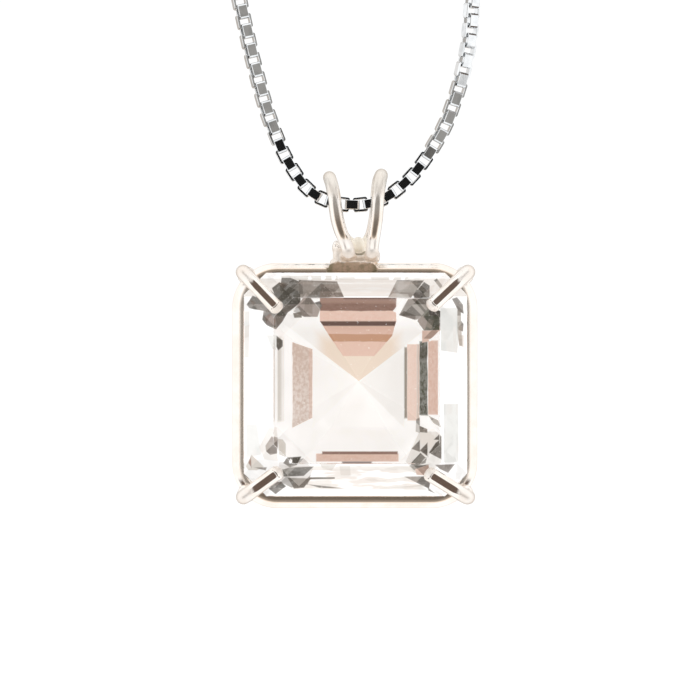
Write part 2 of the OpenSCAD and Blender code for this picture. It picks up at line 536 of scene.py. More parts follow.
    def _stretches(self, spot: Spot, uneven: Signal) -> dict[Stretch, Signal]:
        """Masks the stretches.

        Args:
            spot: The shaded point.
            uneven: Its height with a wander, for solder's edges.

        Returns:
            A mask for each stretch.
        """
        x, y, z = spot.x, spot.y, spot.z
        near = abs(x - self.tab_x).rise(*self.tab_side)
        from_bead_shade = [v - middle for v, middle in zip((x, z), self.bead_shade_at)]
        ring = (from_bead_shade[0] * from_bead_shade[0] + from_bead_shade[1] * from_bead_shade[1]).between(*self.bead_shade_ring)
        reach = (abs(x) + abs(z)) * math.sqrt(0.5) + z.rise(-1.0, 1.0) * self.tip_lift
        up = z - self.leg_foot
        leant = y - up * self.leg_lean[0] - up * up * self.leg_lean[1]
        solder = uneven.rise(*self.solder_foot) & uneven.rise(*self.solder_top)
        face = uneven.rise(*self.face_top) & z.rise(*self.face_foot)
        bead = z.between(*self.bead_up) & abs(x - self.bead_x).rise(*self.bead_side)
        leg_front = y.rise(*self.leg_back)
        return {
            Stretch.SOLDER: solder & near & y.rise(*self.solder_front),
            Stretch.FACE: face & near & y.rise(*self.face_front),
            Stretch.CUP: ring & z.rise(*self.bead_shade_top) & y.rise(*self.bead_shade_front),
            Stretch.BEAD: bead & y.between(*self.bead_back),
            Stretch.GROOVE: (
                y.between(*self.rail_shade_back)
                & (abs(x) | abs(z)).rise(*self.rail_shade_out)
                & z.rise(*self.rail_shade_top)
            ),
            Stretch.TIP: reach.rise(*self.tip_reach) & y.rise(*self.tip_front) & z.rise(*self.tip_top),
            Stretch.ELBOW: (abs(x) & abs(z)).rise(*self.elbow_out),
            Stretch.LOOP: z.rise(*self.loop_foot),
            Stretch.CREST: z.rise(*self.crest_foot),
            Stretch.WORN: leant.rise(*self.leg_front) & z.between(self.leg_foot, self.leg_top, self.leg_soft),
            Stretch.FOOT: z.between(*self.foot_up) & leg_front,
            Stretch.LOWER: z.between(*self.lower_up) & leg_front,
        }

    @staticmethod
    def _beside(spot: Spot) -> Signal:
        """A mask of the front rail's left and right stretches."""
        return (abs(spot.x) - abs(spot.z)).rise(-0.5, 0.5)

    def _colour(
        self, spot: Spot, uneven: Signal, on: dict[Stretch, Signal], cloud: Signal, pits: Signal
    ) -> Signal:
        """Colours the stretches.

        Args:
            spot: The shaded point.
            uneven: Its height with a wander.
            on: The stretches' masks.
            cloud: Broad noise.
            pits: A mask of small pits.

        Returns:
            The colour.
        """
        x, z = spot.x, spot.z
        solder, face = on[Stretch.SOLDER], on[Stretch.FACE]
        edge = abs(x - self.seam_x).rise(*self.seam_side) | uneven.rise(*self.seam_foot)
        blotches = spot.noise(scale=3.1, detail=5, roughness=0.7).rise(0.45, 0.62)
        coat = Coat(spot.graph, spot.graph.mix(cloud.rise(0.35, 0.7), self.bright, self.tinted))
        coat.lay(z.rise(*self.haze_foot), self.hazed, share=0.75)
        # Painted shade along the inner side of the front rail, lighter at its left and right
        coat.lay(on[Stretch.GROOVE], self.groove, share=1 - self._beside(spot) * 0.6)
        coat.lay(solder, self.solder)
        coat.lay(solder & edge, self.seam)
        coat.lay(on[Stretch.BEAD], self.bead)
        coat.lay(on[Stretch.FOOT] & z.rise(*self.foot_seam), self.seam, share=0.7)
        coat.lay(pits * solder, self.stained, share=0.35)
        # The tab's face: a darker brown, darker still at its sides and in blotches
        coat.lay(face, self.stained)
        coat.lay(face * abs(x - self.face_x).rise(*self.face_side), self.olive, share=0.8)
        coat.lay(face * blotches, self.olive, share=0.55)
        # Painted shade under the bead
        coat.lay(on[Stretch.CUP], self.olive, share=0.85)
        # Brown painted over the legs' flats to colour the dark reflections they show, less towards the top
        coat.lay(on[Stretch.WORN], self.groove, share=z.rise(*self.leg_fade))
        return coat.colour

    def _roughness(self, spot: Spot, on: dict[Stretch, Signal], cloud: Signal, marks: Signal) -> Signal:
        """Roughens the stretches.

        Args:
            spot: The shaded point.
            on: The stretches' masks.
            cloud: Broad noise.
            marks: Fine drawing marks.

        Returns:
            The roughness.
        """
        rough = self.gloss + cloud * 0.05 + marks * 0.03
        rough = rough + (on[Stretch.SOLDER] | on[Stretch.FACE]) * self.solder_rough
        for stretch, more in self.rougher.items():
            rough = rough + on[stretch] * more
        rough = rough + on[Stretch.GROOVE] * (self._beside(spot) * 0.1 + 0.08)
        return rough | (on[Stretch.BEAD] * self.bead_rough)


@dataclass(frozen=True)
class PolishedSilver:
    """Neutral bright silver with fine wear."""

    tone: Colour = (0.88, 0.897, 0.912)
    worn: Colour = (0.70, 0.72, 0.735)
    gloss: float = 0.06
    dulling: float = 0.06
    relief: float = 0.002

    def material(self) -> bpy.types.Material:
        """Builds the finish.

        Returns:
            The material.
        """
        made, g = new_material("polished_silver")
        spot = g.place(HANGING_POINT)
        cloud = spot.noise(scale=1.6, detail=3)
        g.surface(g.principled({
            "Base Color": g.mix(cloud.rise(0.4, 0.75), self.tone, self.worn),
            "Metallic": 1.0,
            "Roughness": self.gloss + cloud * self.dulling,
            "Normal": g.bump(spot.noise(scale=9.0, detail=2), self.relief),
        }))
        return made


# Reflections painted on the facets near the stone's corners: tone, share laid on, and corner points right and
# up of its centre
CORNER_REFLECTIONS = (
    # Upper left
    (ReflectionTone.PEARL, 0.7, ((-5.0, 7.3), (-1.2, 7.3), (-1.2, 7.0), (-4.9, 7.0))),
    (ReflectionTone.PEARL, 0.5, ((-1.24, 7.2), (-0.05, 7.2), (-0.05, 7.05), (-1.0, 7.0))),
    (ReflectionTone.GREY, 1, ((-3.8, 7.0), (-1.24, 6.9), (-0.78, 5.85), (-2.4, 5.8), (-3.8, 5.8))),
    (ReflectionTone.SMOKE, 0.6, ((-2.9, 6.2), (-2.0, 6.55), (-1.2, 6.25), (-1.5, 5.9), (-2.5, 5.85))),
    (ReflectionTone.SMOKE, 0.95, (
        (-4.95, 7.15), (-4.37, 7.15), (-3.55, 6.8), (-3.5, 6.05), (-4.62, 6.0), (-5.03, 6.57),
    )),
    (ReflectionTone.WHITE, 0.8, ((-3.15, 7.25), (-3.0, 7.25), (-2.9, 7.1), (-3.0, 6.98), (-3.2, 7.0))),
    (ReflectionTone.WHITE, 0.95, ((-2.3, 7.3), (-2.05, 7.3), (-1.98, 7.15), (-2.1, 6.98), (-2.3, 7.0))),
    (ReflectionTone.WHITE, 0.95, ((-1.6, 7.3), (-1.35, 7.3), (-1.3, 7.15), (-1.4, 6.98), (-1.6, 7.0))),
    (ReflectionTone.SOOT, 1, ((-5.6, 6.45), (-5.1, 6.85), (-3.7, 6.2), (-3.7, 5.5), (-4.54, 4.85), (-4.95, 4.9))),
    (ReflectionTone.SOOT, 1, ((-5.45, 4.8), (-4.95, 5.1), (-4.5, 4.95), (-4.95, 4.2), (-5.28, 3.85))),
    (ReflectionTone.MAUVE, 1, ((-4.21, 4.92), (-3.3, 6.12), (-2.39, 5.04), (-2.56, 4.55), (-3.46, 4.55))),
    (ReflectionTone.GREY, 0.6, ((-3.3, 6.12), (-2.9, 5.65), (-2.9, 4.75), (-3.5, 4.9))),
    (ReflectionTone.SMOKE, 0.9, ((-2.75, 5.5), (-2.39, 5.04), (-2.25, 5.3), (-2.4, 5.6))),
    (ReflectionTone.WHITE, 0.95, ((-4.54, 4.84), (-3.88, 5.17), (-3.71, 4.92), (-4.37, 4.67))),
    (ReflectionTone.LICHEN, 0.85, ((-4.21, 4.8), (-3.63, 4.84), (-3.63, 4.5), (-4.12, 4.48))),
    (ReflectionTone.SMOKE, 0.95, ((-7.3, 5.35), (-6.9, 5.95), (-5.9, 5.6), (-5.75, 4.85), (-7.1, 5.1))),
    (ReflectionTone.SMOKE, 0.9, (
        (-6.23, 4.34), (-6.15, 4.95), (-5.53, 4.98), (-4.87, 4.3), (-5.36, 3.7), (-5.94, 3.97),
    )),
    (ReflectionTone.PLUM, 0.6, ((-6.1, 4.5), (-5.7, 4.75), (-5.35, 4.3), (-5.5, 3.9), (-5.95, 4.05))),
    (ReflectionTone.SMOKE, 0.98, ((-5.32, 3.27), (-4.91, 2.94), (-4.91, 2.57), (-5.2, 2.28), (-5.32, 2.53))),
    (ReflectionTone.FOG, 0.6, ((-7.43, 4.9), (-7.1, 4.9), (-7.15, 1.8), (-7.43, 1.8))),
    (ReflectionTone.PEARL, 0.4, ((-7.43, 3.9), (-7.1, 4.0), (-7.15, 3.2), (-7.43, 3.1))),
    (ReflectionTone.FOG, 0.65, ((-5.95, 3.3), (-5.36, 3.3), (-5.36, 2.3), (-5.6, 2.4))),
    # Upper right
    (ReflectionTone.PEARL, 0.6, ((1.0, 7.2), (3.6, 7.2), (3.4, 7.02), (1.1, 7.0))),
    (ReflectionTone.WHITE, 0.95, ((2.25, 7.3), (2.5, 7.3), (2.6, 7.15), (2.5, 6.98), (2.25, 7.0))),
    (ReflectionTone.WHITE, 0.95, ((3.05, 7.3), (3.3, 7.3), (3.35, 7.15), (3.25, 6.98), (3.05, 7.0))),
    (ReflectionTone.GREY, 0.95, ((2.19, 5.83), (2.77, 6.98), (4.59, 6.98), (3.7, 5.8))),
    (ReflectionTone.PEARL, 0.6, ((2.19, 5.83), (2.5, 6.1), (3.5, 6.05), (3.6, 5.83))),
    (ReflectionTone.MAUVE, 0.7, ((2.9, 6.95), (3.7, 6.98), (3.5, 6.4), (2.8, 6.3))),
    (ReflectionTone.SMOKE, 1, ((3.85, 5.99), (4.59, 6.86), (4.96, 6.61), (4.94, 5.8), (3.93, 5.79))),
    (ReflectionTone.INK, 1, ((3.85, 5.99), (4.09, 6.36), (4.55, 6.2), (4.46, 5.79), (4.05, 5.79))),
    (ReflectionTone.GREY, 0.85, ((2.94, 4.67), (3.55, 5.74), (4.95, 5.76), (4.95, 4.9), (4.09, 4.34))),
    (ReflectionTone.SMOKE, 0.85, ((2.94, 4.67), (3.27, 4.95), (4.09, 4.62), (4.01, 4.34))),
    (ReflectionTone.GREY, 0.8, ((4.1, 5.76), (4.95, 5.76), (4.95, 4.95))),
    (ReflectionTone.SOOT, 1, ((3.8, 5.76), (4.05, 5.76), (4.96, 4.72), (4.84, 4.6))),
    (ReflectionTone.WHITE, 0.95, ((2.52, 4.95), (3.2, 5.76), (3.55, 5.76), (2.85, 4.75))),
    (ReflectionTone.MOSS, 1, ((4.92, 5.17), (5.66, 4.92), (5.66, 3.62), (4.63, 3.62), (4.18, 4.26))),
    (ReflectionTone.MAUVE, 0.9, ((4.18, 4.42), (4.59, 4.62), (4.85, 4.2), (4.67, 3.66), (4.34, 4.0))),
    (ReflectionTone.LICHEN, 0.6, ((4.95, 4.4), (5.3, 4.3), (5.1, 3.7), (4.75, 3.9))),
    (ReflectionTone.INK, 1, ((4.88, 5.13), (5.66, 4.92), (5.66, 4.55), (5.0, 4.67))),
    (ReflectionTone.CLAY, 0.98, ((4.5, 3.62), (5.66, 3.64), (4.92, 2.9), (4.5, 2.8))),
    (ReflectionTone.WHITE, 0.9, ((4.92, 3.0), (5.66, 3.45), (5.66, 3.3), (5.0, 2.88))),
    (ReflectionTone.FOG, 0.8, ((5.68, 5.08), (6.82, 5.13), (6.9, 3.1), (6.82, 2.11), (5.7, 2.28))),
    (ReflectionTone.SMOKE, 0.9, ((6.45, 5.74), (6.8, 5.85), (7.2, 5.35), (7.24, 4.75), (6.9, 4.9))),
    (ReflectionTone.SMOKE, 0.9, ((6.86, 4.15), (7.06, 4.28), (7.24, 4.05), (7.2, 3.55), (6.88, 3.65))),
    (ReflectionTone.PEARL, 0.8, ((6.9, 3.3), (7.24, 3.3), (7.24, 2.5), (6.95, 2.6))),
    (ReflectionTone.GREY, 0.98, ((5.25, 6.98), (5.45, 7.1), (5.9, 6.5), (5.7, 6.4))),
    (ReflectionTone.LICHEN, 0.75, ((6.82, 5.0), (7.05, 4.9), (7.15, 2.6), (6.95, 2.6), (6.82, 3.5))),
    # Lower right
    (ReflectionTone.PEARL, 0.6, ((3.4, -5.2), (4.3, -3.2), (5.74, -3.2), (5.74, -5.2), (4.9, -6.0), (3.9, -5.9))),
    (ReflectionTone.FOG, 0.75, ((5.9, -1.3), (6.9, -1.3), (6.9, -5.2), (5.9, -5.2))),
    (ReflectionTone.HAZE, 0.95, ((4.34, -3.27), (4.92, -3.2), (5.55, -3.6), (5.2, -4.3), (4.38, -4.0))),
    (ReflectionTone.SMOKE, 0.9, ((3.78, -4.35), (4.34, -3.75), (4.34, -4.55))),
    (ReflectionTone.SMOKE, 0.98, ((4.34, -4.46), (4.85, -3.93), (4.84, -4.84))),
    (ReflectionTone.SMOKE, 0.98, ((4.96, -4.59), (5.41, -3.93), (5.74, -3.68), (5.74, -5.0))),
    (ReflectionTone.SOOT, 1, ((5.29, -3.72), (5.62, -3.39), (5.74, -3.47), (5.73, -3.76))),
    (ReflectionTone.SOOT, 1, ((3.64, -5.41), (4.38, -4.63), (4.75, -4.96), (4.67, -5.25), (4.09, -5.41))),
    (ReflectionTone.SMOKE, 0.95, ((3.64, -5.45), (4.92, -5.33), (3.93, -5.74))),
    (ReflectionTone.CLAY, 1, ((3.97, -5.66), (4.88, -5.36), (4.92, -5.66), (4.59, -6.07), (4.09, -6.03))),
    (ReflectionTone.SMOKE, 0.9, ((3.27, -6.16), (4.59, -6.14), (5.0, -6.57), (4.92, -6.98))),
    (ReflectionTone.SMOKE, 0.95, ((5.33, -5.37), (6.65, -5.33), (6.2, -5.91), (5.66, -5.66))),
    (ReflectionTone.GREY, 1, ((4.3, -2.81), (4.84, -3.02), (4.84, -3.27), (4.34, -3.23))),
    (ReflectionTone.LICHEN, 0.8, ((4.92, -2.11), (5.58, -2.44), (5.7, -2.86), (5.25, -2.61))),
    (ReflectionTone.WHITE, 0.95, ((4.3, -2.07), (4.59, -2.19), (5.74, -3.19), (5.66, -3.35), (4.34, -2.36))),
    (ReflectionTone.PEARL, 0.9, ((2.69, -6.88), (4.67, -6.69), (4.59, -6.83))),
    (ReflectionTone.GREY, 0.9, ((4.84, -6.9), (5.33, -7.3), (4.9, -7.12))),
    (ReflectionTone.LICHEN, 0.55, ((4.1, -2.4), (4.34, -2.2), (4.34, -3.3), (4.06, -3.2))),
    # Lower left
    (ReflectionTone.FOG, 0.55, ((-7.3, -2.7), (-6.6, -2.7), (-6.3, -4.7), (-7.3, -4.9))),
    (ReflectionTone.MAUVE, 0.42, ((-5.1, -5.2), (-3.5, -5.0), (-2.85, -5.6), (-3.2, -6.7), (-4.3, -6.9), (-5.1, -6.5))),
    (ReflectionTone.HAZE, 0.7, ((-6.45, -4.2), (-5.8, -2.9), (-5.3, -2.9), (-5.2, -5.1), (-6.1, -5.0))),
    (ReflectionTone.MAUVE, 0.98, (
        (-6.02, -4.09), (-5.61, -3.47), (-5.24, -3.6), (-5.24, -4.59), (-5.69, -4.71), (-5.98, -4.46),
    )),
    (ReflectionTone.PEARL, 0.98, ((-5.24, -3.68), (-4.91, -3.72), (-4.7, -4.01), (-4.7, -4.84), (-5.11, -4.67))),
    (ReflectionTone.SMOKE, 0.95, ((-4.83, -5.25), (-4.62, -4.92), (-3.67, -4.88), (-3.92, -5.37), (-4.37, -5.54))),
    (ReflectionTone.SOOT, 0.9, ((-4.3, -5.2), (-4.2, -4.92), (-3.67, -4.88), (-3.92, -5.37))),
    (ReflectionTone.WHITE, 1, ((-4.45, -5.1), (-4.36, -5.0), (-4.26, -5.1), (-4.26, -5.25), (-4.4, -5.27))),
    (ReflectionTone.SOOT, 0.88, ((-5.07, -5.74), (-4.37, -5.54), (-2.8, -5.48), (-3.46, -6.11), (-4.78, -6.16))),
    (ReflectionTone.SMOKE, 0.97, ((-4.54, -6.24), (-2.97, -6.28), (-3.46, -6.9), (-4.12, -6.98))),
    (ReflectionTone.SOOT, 0.93, ((-5.82, -6.98), (-5.36, -6.49), (-4.99, -6.49), (-4.66, -6.82), (-5.36, -7.35))),
    (ReflectionTone.SMOKE, 0.9, ((-3.13, -6.21), (-1.4, -6.21), (-1.4, -6.3), (-3.13, -6.34))),
    (ReflectionTone.GREY, 0.8, ((-3.13, -6.69), (-2.31, -6.94), (-0.82, -6.98), (-1.57, -6.86))),
    (ReflectionTone.PEARL, 0.55, ((-1.07, -5.45), (-0.37, -5.45), (-0.33, -6.07), (-0.99, -6.07))),
    (ReflectionTone.PEARL, 0.7, ((-2.4, -5.3), (-1.25, -5.3), (-1.6, -5.75), (-2.2, -5.6))),
    (ReflectionTone.PEARL, 0.98, (
        (-7.34, -5.5), (-6.97, -4.71), (-6.39, -5.25), (-6.15, -5.5), (-6.6, -5.74), (-7.18, -5.74),
    )),
    (ReflectionTone.PLUM, 0.9, ((-7.18, -5.25), (-7.01, -4.84), (-6.97, -5.58))),
    (ReflectionTone.SMOKE, 0.85, ((-6.72, -5.56), (-5.94, -5.54), (-6.02, -5.74), (-6.44, -5.66))),
)

PALE = (ReflectionTone.WHITE, ReflectionTone.MIST, ReflectionTone.PEARL, ReflectionTone.FOG, ReflectionTone.HAZE)


@dataclass(frozen=True)
class ReflectionBar:
    """A straight bar of one tone of painted reflection, on the facets seen through the table, from the centre
    of the stone.

    The share laid on grows with the grain by a share of its own. A stretch across of None is as wide as the
    stack over the centre. The long edges of a wavy bar waver a little.
    """

    tone: ReflectionTone
    up: Band
    across: Band | None = None
    share: float = 1.0
    grain: float = 0.0
    wavy: bool = False


# Bars of painted reflection that show through the table
REFLECTION_BARS = (
    # Stack over the centre
    ReflectionBar(ReflectionTone.ROSE, (1.905, 9.0, HAIR), share=0.9, grain=0.1),
    ReflectionBar(ReflectionTone.AMBER, (2.88, 3.4, HAIR), wavy=True),
    ReflectionBar(ReflectionTone.CLAY, (3.4, 3.7, 0.08), share=0.7, wavy=True),
    ReflectionBar(ReflectionTone.CLAY, (3.66, 4.0, 0.1), wavy=True),
    ReflectionBar(ReflectionTone.UMBER, (3.94, 4.25, 0.05)),
    ReflectionBar(ReflectionTone.PLUM, (4.95, 5.5, HAIR), share=0.94, grain=0.06, wavy=True),
    ReflectionBar(ReflectionTone.CLAY, (5.45, 5.9, 0.06), share=0.5, wavy=True),
    ReflectionBar(ReflectionTone.PLUM, (5.45, 5.9, 0.06), share=0.75, wavy=True),
    ReflectionBar(ReflectionTone.UMBER, (5.73, 5.84, 0.03), (-0.8, 2.7, HAIR), share=0.8),
    # To the right
    ReflectionBar(ReflectionTone.LICHEN, (-2.3, 2.5, 0.1), (3.3, 3.5, 0.05), share=0.97),
    ReflectionBar(ReflectionTone.BLUSH, (-2.45, 2.7, 0.06), (3.5, 4.15, HAIR), share=0.9, grain=0.1, wavy=True),
    ReflectionBar(ReflectionTone.SAND, (-2.45, 2.7, 0.06), (4.15, 4.33, 0.06), share=0.9, wavy=True),
    ReflectionBar(ReflectionTone.MOSS, (-2.1, 2.9, 0.08), (4.33, 4.86, HAIR), share=0.81, grain=0.18, wavy=True),
    ReflectionBar(ReflectionTone.SOOT, (1.7, 2.6, 0.2), (4.33, 4.86, HAIR), share=0.6, wavy=True),
    ReflectionBar(ReflectionTone.SOOT, (-2.0, -0.6, 0.4), (4.33, 4.86, HAIR), share=0.0, grain=0.6, wavy=True),
    ReflectionBar(ReflectionTone.CLAY, (-2.05, 2.95, 0.08), (4.9, 5.55, HAIR), share=0.85, grain=0.15),
    # To the far left
    ReflectionBar(ReflectionTone.PEARL, (-2.5, 2.9, 0.2), (-5.5, -5.42, 0.02), share=0.7),
    # Under the centre
    ReflectionBar(ReflectionTone.CLAY, (-5.2, -4.68, HAIR), (-2.65, 2.9, 0.06), share=0.85, grain=0.1),
    ReflectionBar(ReflectionTone.PLUM, (-4.72, -4.53, HAIR), (-2.25, 2.85, 0.06), share=0.95),
    ReflectionBar(ReflectionTone.UMBER, (-5.36, -5.2, HAIR), (-0.9, 1.1, 0.1), share=0.8),
)


@dataclass(frozen=True)
class ClearQuartz:
    """Clear step-cut quartz, whose facets carry painted reflections of the room, which glow.

    Places are from the centre of the stone's girdle.
    """

    ior: float = 1.544
    tint: Colour = (1.0, 0.968, 0.938)
    veiled: Colour = (0.945, 0.94, 0.93)
    # Painted reflections: their share over the clear glass on the table, crown and corners, their glow, and
    # their roughness
    table_cover: float = 0.97
    crown_cover: float = 0.88
    corner_cover: float = 0.88
    glow: float = 0.81
    matt: float = 0.3
    # Pavilion under the table, a square with cut corners
    table_x: float = 0.07
    table_z: float = 0.25
    table_half: Edge = (5.6, 5.555)
    table_cut: Edge = (9.9, 9.8)
    pavilion: Edge = (0.3, 0.5)
    # Crown from the table's edge to the girdle, and the corners of both
    crown_front: Edge = (-1.748, -1.743)
    crown_back: Edge = (-0.2, -0.24)
    corner_reach: Edge = (8.0, 8.25)
    corner_half: Edge = (4.9, 5.1)
    # Crown's painted reflections: wavy lines, and the bands on its low side
    line_stretch: Point = (0.5, 1.0, 4.0)
    line_half: Edge = (5.9, 6.1)
    above_foot: Edge = (5.85, 5.95)
    above_top: Edge = (7.15, 7.05)
    band_stretch: Point = (0.4, 1.0, 2.0)
    low_top: Edge = (-5.4, -5.5)
    low_foot: Edge = (-7.1, -6.9)
    low_side: Edge = (5.0, 4.0)
    # Point of the V over the centre, and its arms' slope
    point_x: float = 0.23
    point_z: float = 0.2
    arm_slope: float = 0.77
    # Mottled bar to the left, whose ends slant, and the pale one beyond it
    left_bar: Band = (-4.26, -2.92, HAIR)
    left_top: Edge = (2.88, 2.8)
    left_foot: Edge = (-2.98, -2.9)
    left_slants: tuple[float, float] = (0.35, -0.5)
    left_inner: Band = (-3.15, -2.92, 0.04)
    far_bar: Band = (-5.25, -4.8, 0.05)
    far_up: Band = (-2.5, 3.2, 0.15)
    # Cells of the corners' painted reflections, per millimetre along both diagonals and up
    cells: tuple[float, float] = (0.66, 1.3)

    def material(self) -> bpy.types.Material:
        """Builds the finish.

        Returns:
            The material.
        """
        made, g = new_material("clear_quartz")
        spot = g.place(GIRDLE)
        x, y, z = spot.x, spot.y, spot.z
        clear = g.principled({
            "Base Color": (*self.tint, 1.0), "Roughness": 0.0, "IOR": self.ior, "Transmission Weight": 1.0,
        })
        off = abs(x - self.table_x), abs(z - self.table_z)
        square = (off[0] | off[1]).rise(*self.table_half) & (off[0] + off[1]).rise(*self.table_cut)
        table = y.rise(*self.pavilion) & square
        crown = y.rise(*self.crown_front) & y.rise(*self.crown_back)
        far = (abs(x) + abs(z)).rise(*self.corner_reach)
        corner = far * (1 - crown) + (abs(x) & abs(z)).rise(*self.corner_half) * crown
        # Painted reflections seen through the table, on the crown, and near the corners
        coat = Coat(g, g.mix(crown, self._painted_table_reflections(spot), self._painted_crown_reflections(spot)))
        corner_reflection_mask = self._painted_corner_reflections(spot, coat)
        # Shader of the painted reflections, which glow
        seen = g.principled({
            "Base Color": g.mix(0.6, coat.colour, BLACK), "Roughness": self.matt, "Specular IOR Level": 0.0,
            "Emission Color": coat.colour, "Emission Strength": self.glow,
        })
        cover = (table * self.table_cover) | (crown * self.crown_cover)
        plain = 1 - corner * (1 - self.corner_cover)
        g.surface(g.add("ShaderNodeMixShader", None, {0: cover * (plain | corner_reflection_mask), 1: clear, 2: seen}))
        return made

    def _painted_crown_reflections(self, spot: Spot) -> Signal:
        """Paints the reflections on the crown's middle stretches near white, with wavy lines above and bands
        below.

        Args:
            spot: The shaded point.

        Returns:
            The colour.
        """
        g, z = spot.graph, spot.z
        noise = g.noise(spot.stretched(self.line_stretch), scale=1.0, detail=3)
        lines = noise.rise(0.52, 0.6) & abs(z).rise(*self.line_half)
        above = g.mix(lines * 0.5, ReflectionTone.HAZE.value, ReflectionTone.MIST.value)
        bands = g.noise(spot.stretched(self.band_stretch), scale=1.0, detail=2)
        low = z.rise(*self.low_top) & z.rise(*self.low_foot) & abs(spot.x).rise(*self.low_side)
        coat = Coat(g, ReflectionTone.WHITE.value)
        coat.lay(lines, ReflectionTone.MIST, share=0.55)
        coat.colour = g.mix(z.rise(*self.above_foot) & z.rise(*self.above_top), coat.colour, above)
        coat.lay(low, ReflectionTone.HAZE, share=0.9)
        coat.lay(bands.rise(0.5, 0.56) * low, ReflectionTone.WHITE, share=0.85)
        coat.lay(bands.rise(0.4, 0.36) * low, ReflectionTone.PEARL, share=0.45)
        return coat.colour

    def _painted_table_reflections(self, spot: Spot) -> Signal:
        """Paints the reflections that show through the table: the faint cross, the V and the long bars.

        Args:
            spot: The shaded point.

        Returns:
            The colour.
        """
        g, x, z = spot.graph, spot.x, spot.z
        grain = spot.noise(scale=3.4, detail=6, roughness=0.7).rise(0.38, 0.66)
        wavy = z + (spot.noise(scale=0.8, detail=3) - 0.5) * 0.16
        sway = x + (spot.noise(scale=0.9, detail=3) - 0.5) * 0.12
        coat = Coat(g, g.mix(spot.noise(scale=0.5, detail=2).rise(0.4, 0.7), ReflectionTone.WHITE.value, self.veiled))
        self._painted_cross_reflection(spot, coat)
        # Sides of the stack, which step inwards on their way down
        left = sway + 2.4 - ((4.26 - z) | 0.0) * 0.655
        right = sway - 2.75 + ((4.34 - z) | 0.0) * 0.27 + ((3.27 - z) | 0.0) * 0.6
        stack = left.rise(-HAIR, HAIR) & right.rise(HAIR, -HAIR) & z.rise(1.87, 1.94)
        for bar in REFLECTION_BARS:
            if bar.across is None:
                mask = stack & (wavy if bar.wavy else z).between(*bar.up)
            else:
                mask = (sway if bar.wavy else x).between(*bar.across) & z.between(*bar.up)
            coat.lay(mask, bar.tone, grain * bar.grain + bar.share if bar.grain else bar.share)
        from_edge = x - self.left_bar[0]
        top, foot = (z + from_edge * slant for slant in self.left_slants)
        mottled = sway.between(*self.left_bar) & top.rise(*self.left_top) & foot.rise(*self.left_foot)
        coat.lay(mottled, ReflectionTone.SAND, share=grain * 0.4 + z * 0.05 + 0.66)
        coat.lay(mottled & x.between(*self.left_inner), ReflectionTone.CLAY, share=0.4)
        far = x.between(*self.far_bar) & z.between(*self.far_up)
        coat.lay(far, ReflectionTone.PEARL, share=x.rise(-4.9, -5.1) * 0.5 + 0.35)
        specks = spot.noise(scale=5.0, detail=2).rise(0.69, 0.73)
        coat.lay(specks & z.between(-5.2, 5.6, 0.2), ReflectionTone.WHITE, share=0.45)
        return coat.colour

    def _painted_cross_reflection(self, spot: Spot, coat: Coat) -> None:
        """Lays on the painted reflections of the faint cross of the lowest facets, and the V's pale arms and
        cream point.

        Args:
            spot: The shaded point.
            coat: What they are laid on.
        """
        x, z = spot.x, spot.z
        coat.lay(z.between(-4.5, -3.0, 0.25) & x.between(-3.0, 3.4, 0.3), ReflectionTone.MIST, share=0.25)
        for side, edge, share in ((1, (3.4, 3.2), 0.6), (-1, (3.0, 2.8), 0.3)):
            arm = ((x - 0.2) * side - abs(z - 0.1)).rise(0.0, 0.1)
            coat.lay(arm & (x * side).rise(*edge) & z.rise(3.0, 2.2), ReflectionTone.MIST, share)
        off = abs(x - self.point_x)
        over = z - self.point_z - off * self.arm_slope
        coat.lay(over.rise(-0.04, 0.04) & z.rise(4.4, 3.4), ReflectionTone.MIST, share=0.6)
        coat.lay(over.rise(-0.03, 0.03) & (off - 2.35).rise(0.9, -0.3) & z.rise(3.9, 2.6), ReflectionTone.CREAM)

    def _painted_corner_reflections(self, spot: Spot, coat: Coat) -> Signal:
        """Lays on the painted reflections in the small facets near the corners.

        Args:
            spot: The shaded point.
            coat: What they are laid on.

        Returns:
            A mask of where they are.
        """
        g, x, z = spot.graph, spot.x, spot.z
        flat = g.add("ShaderNodeCombineXYZ", None, {"X": x, "Y": 1.0, "Z": z})
        mottle = g.noise(flat, scale=2.2, detail=4, roughness=0.65).rise(0.3, 0.62) * 0.08 + 0.92
        masks = [self._facet(g, flat, points) for _, _, points in CORNER_REFLECTIONS]
        for facet, (tone, share, _) in zip(masks, CORNER_REFLECTIONS):
            coat.lay(facet * mottle, tone, share)
        deep = reduce(Signal.__or__, (m for m, (tone, _, _) in zip(masks, CORNER_REFLECTIONS) if tone not in PALE))
        # Right-angled cells of the painted reflections, each lighter or darker by chance
        aslant, upward = self.cells
        steps = [(v * size).math("FLOOR") for v, size in ((x + z, aslant), (x - z, aslant), (z, upward))]
        cell = g.add("ShaderNodeCombineXYZ", None, dict(zip("XYZ", steps)))
        chance = g.add("ShaderNodeTexWhiteNoise", {"noise_dimensions": "3D"}, {"Vector": cell}, "Value")
        coat.lay(deep * chance.rise(0.80, 0.81), ReflectionTone.PEARL, share=0.26)
        coat.lay(deep * chance.between(0.62, 0.8, 0.005), ReflectionTone.MAUVE, share=0.22)
        coat.lay(deep * chance.rise(0.34, 0.33), ReflectionTone.SOOT, share=0.5)
        pale_mottle = g.noise(flat, scale=7.0, detail=3, roughness=0.7).rise(0.56, 0.72)
        coat.lay(deep * pale_mottle, ReflectionTone.PEARL, share=0.38)
        return reduce(Signal.__or__, masks)

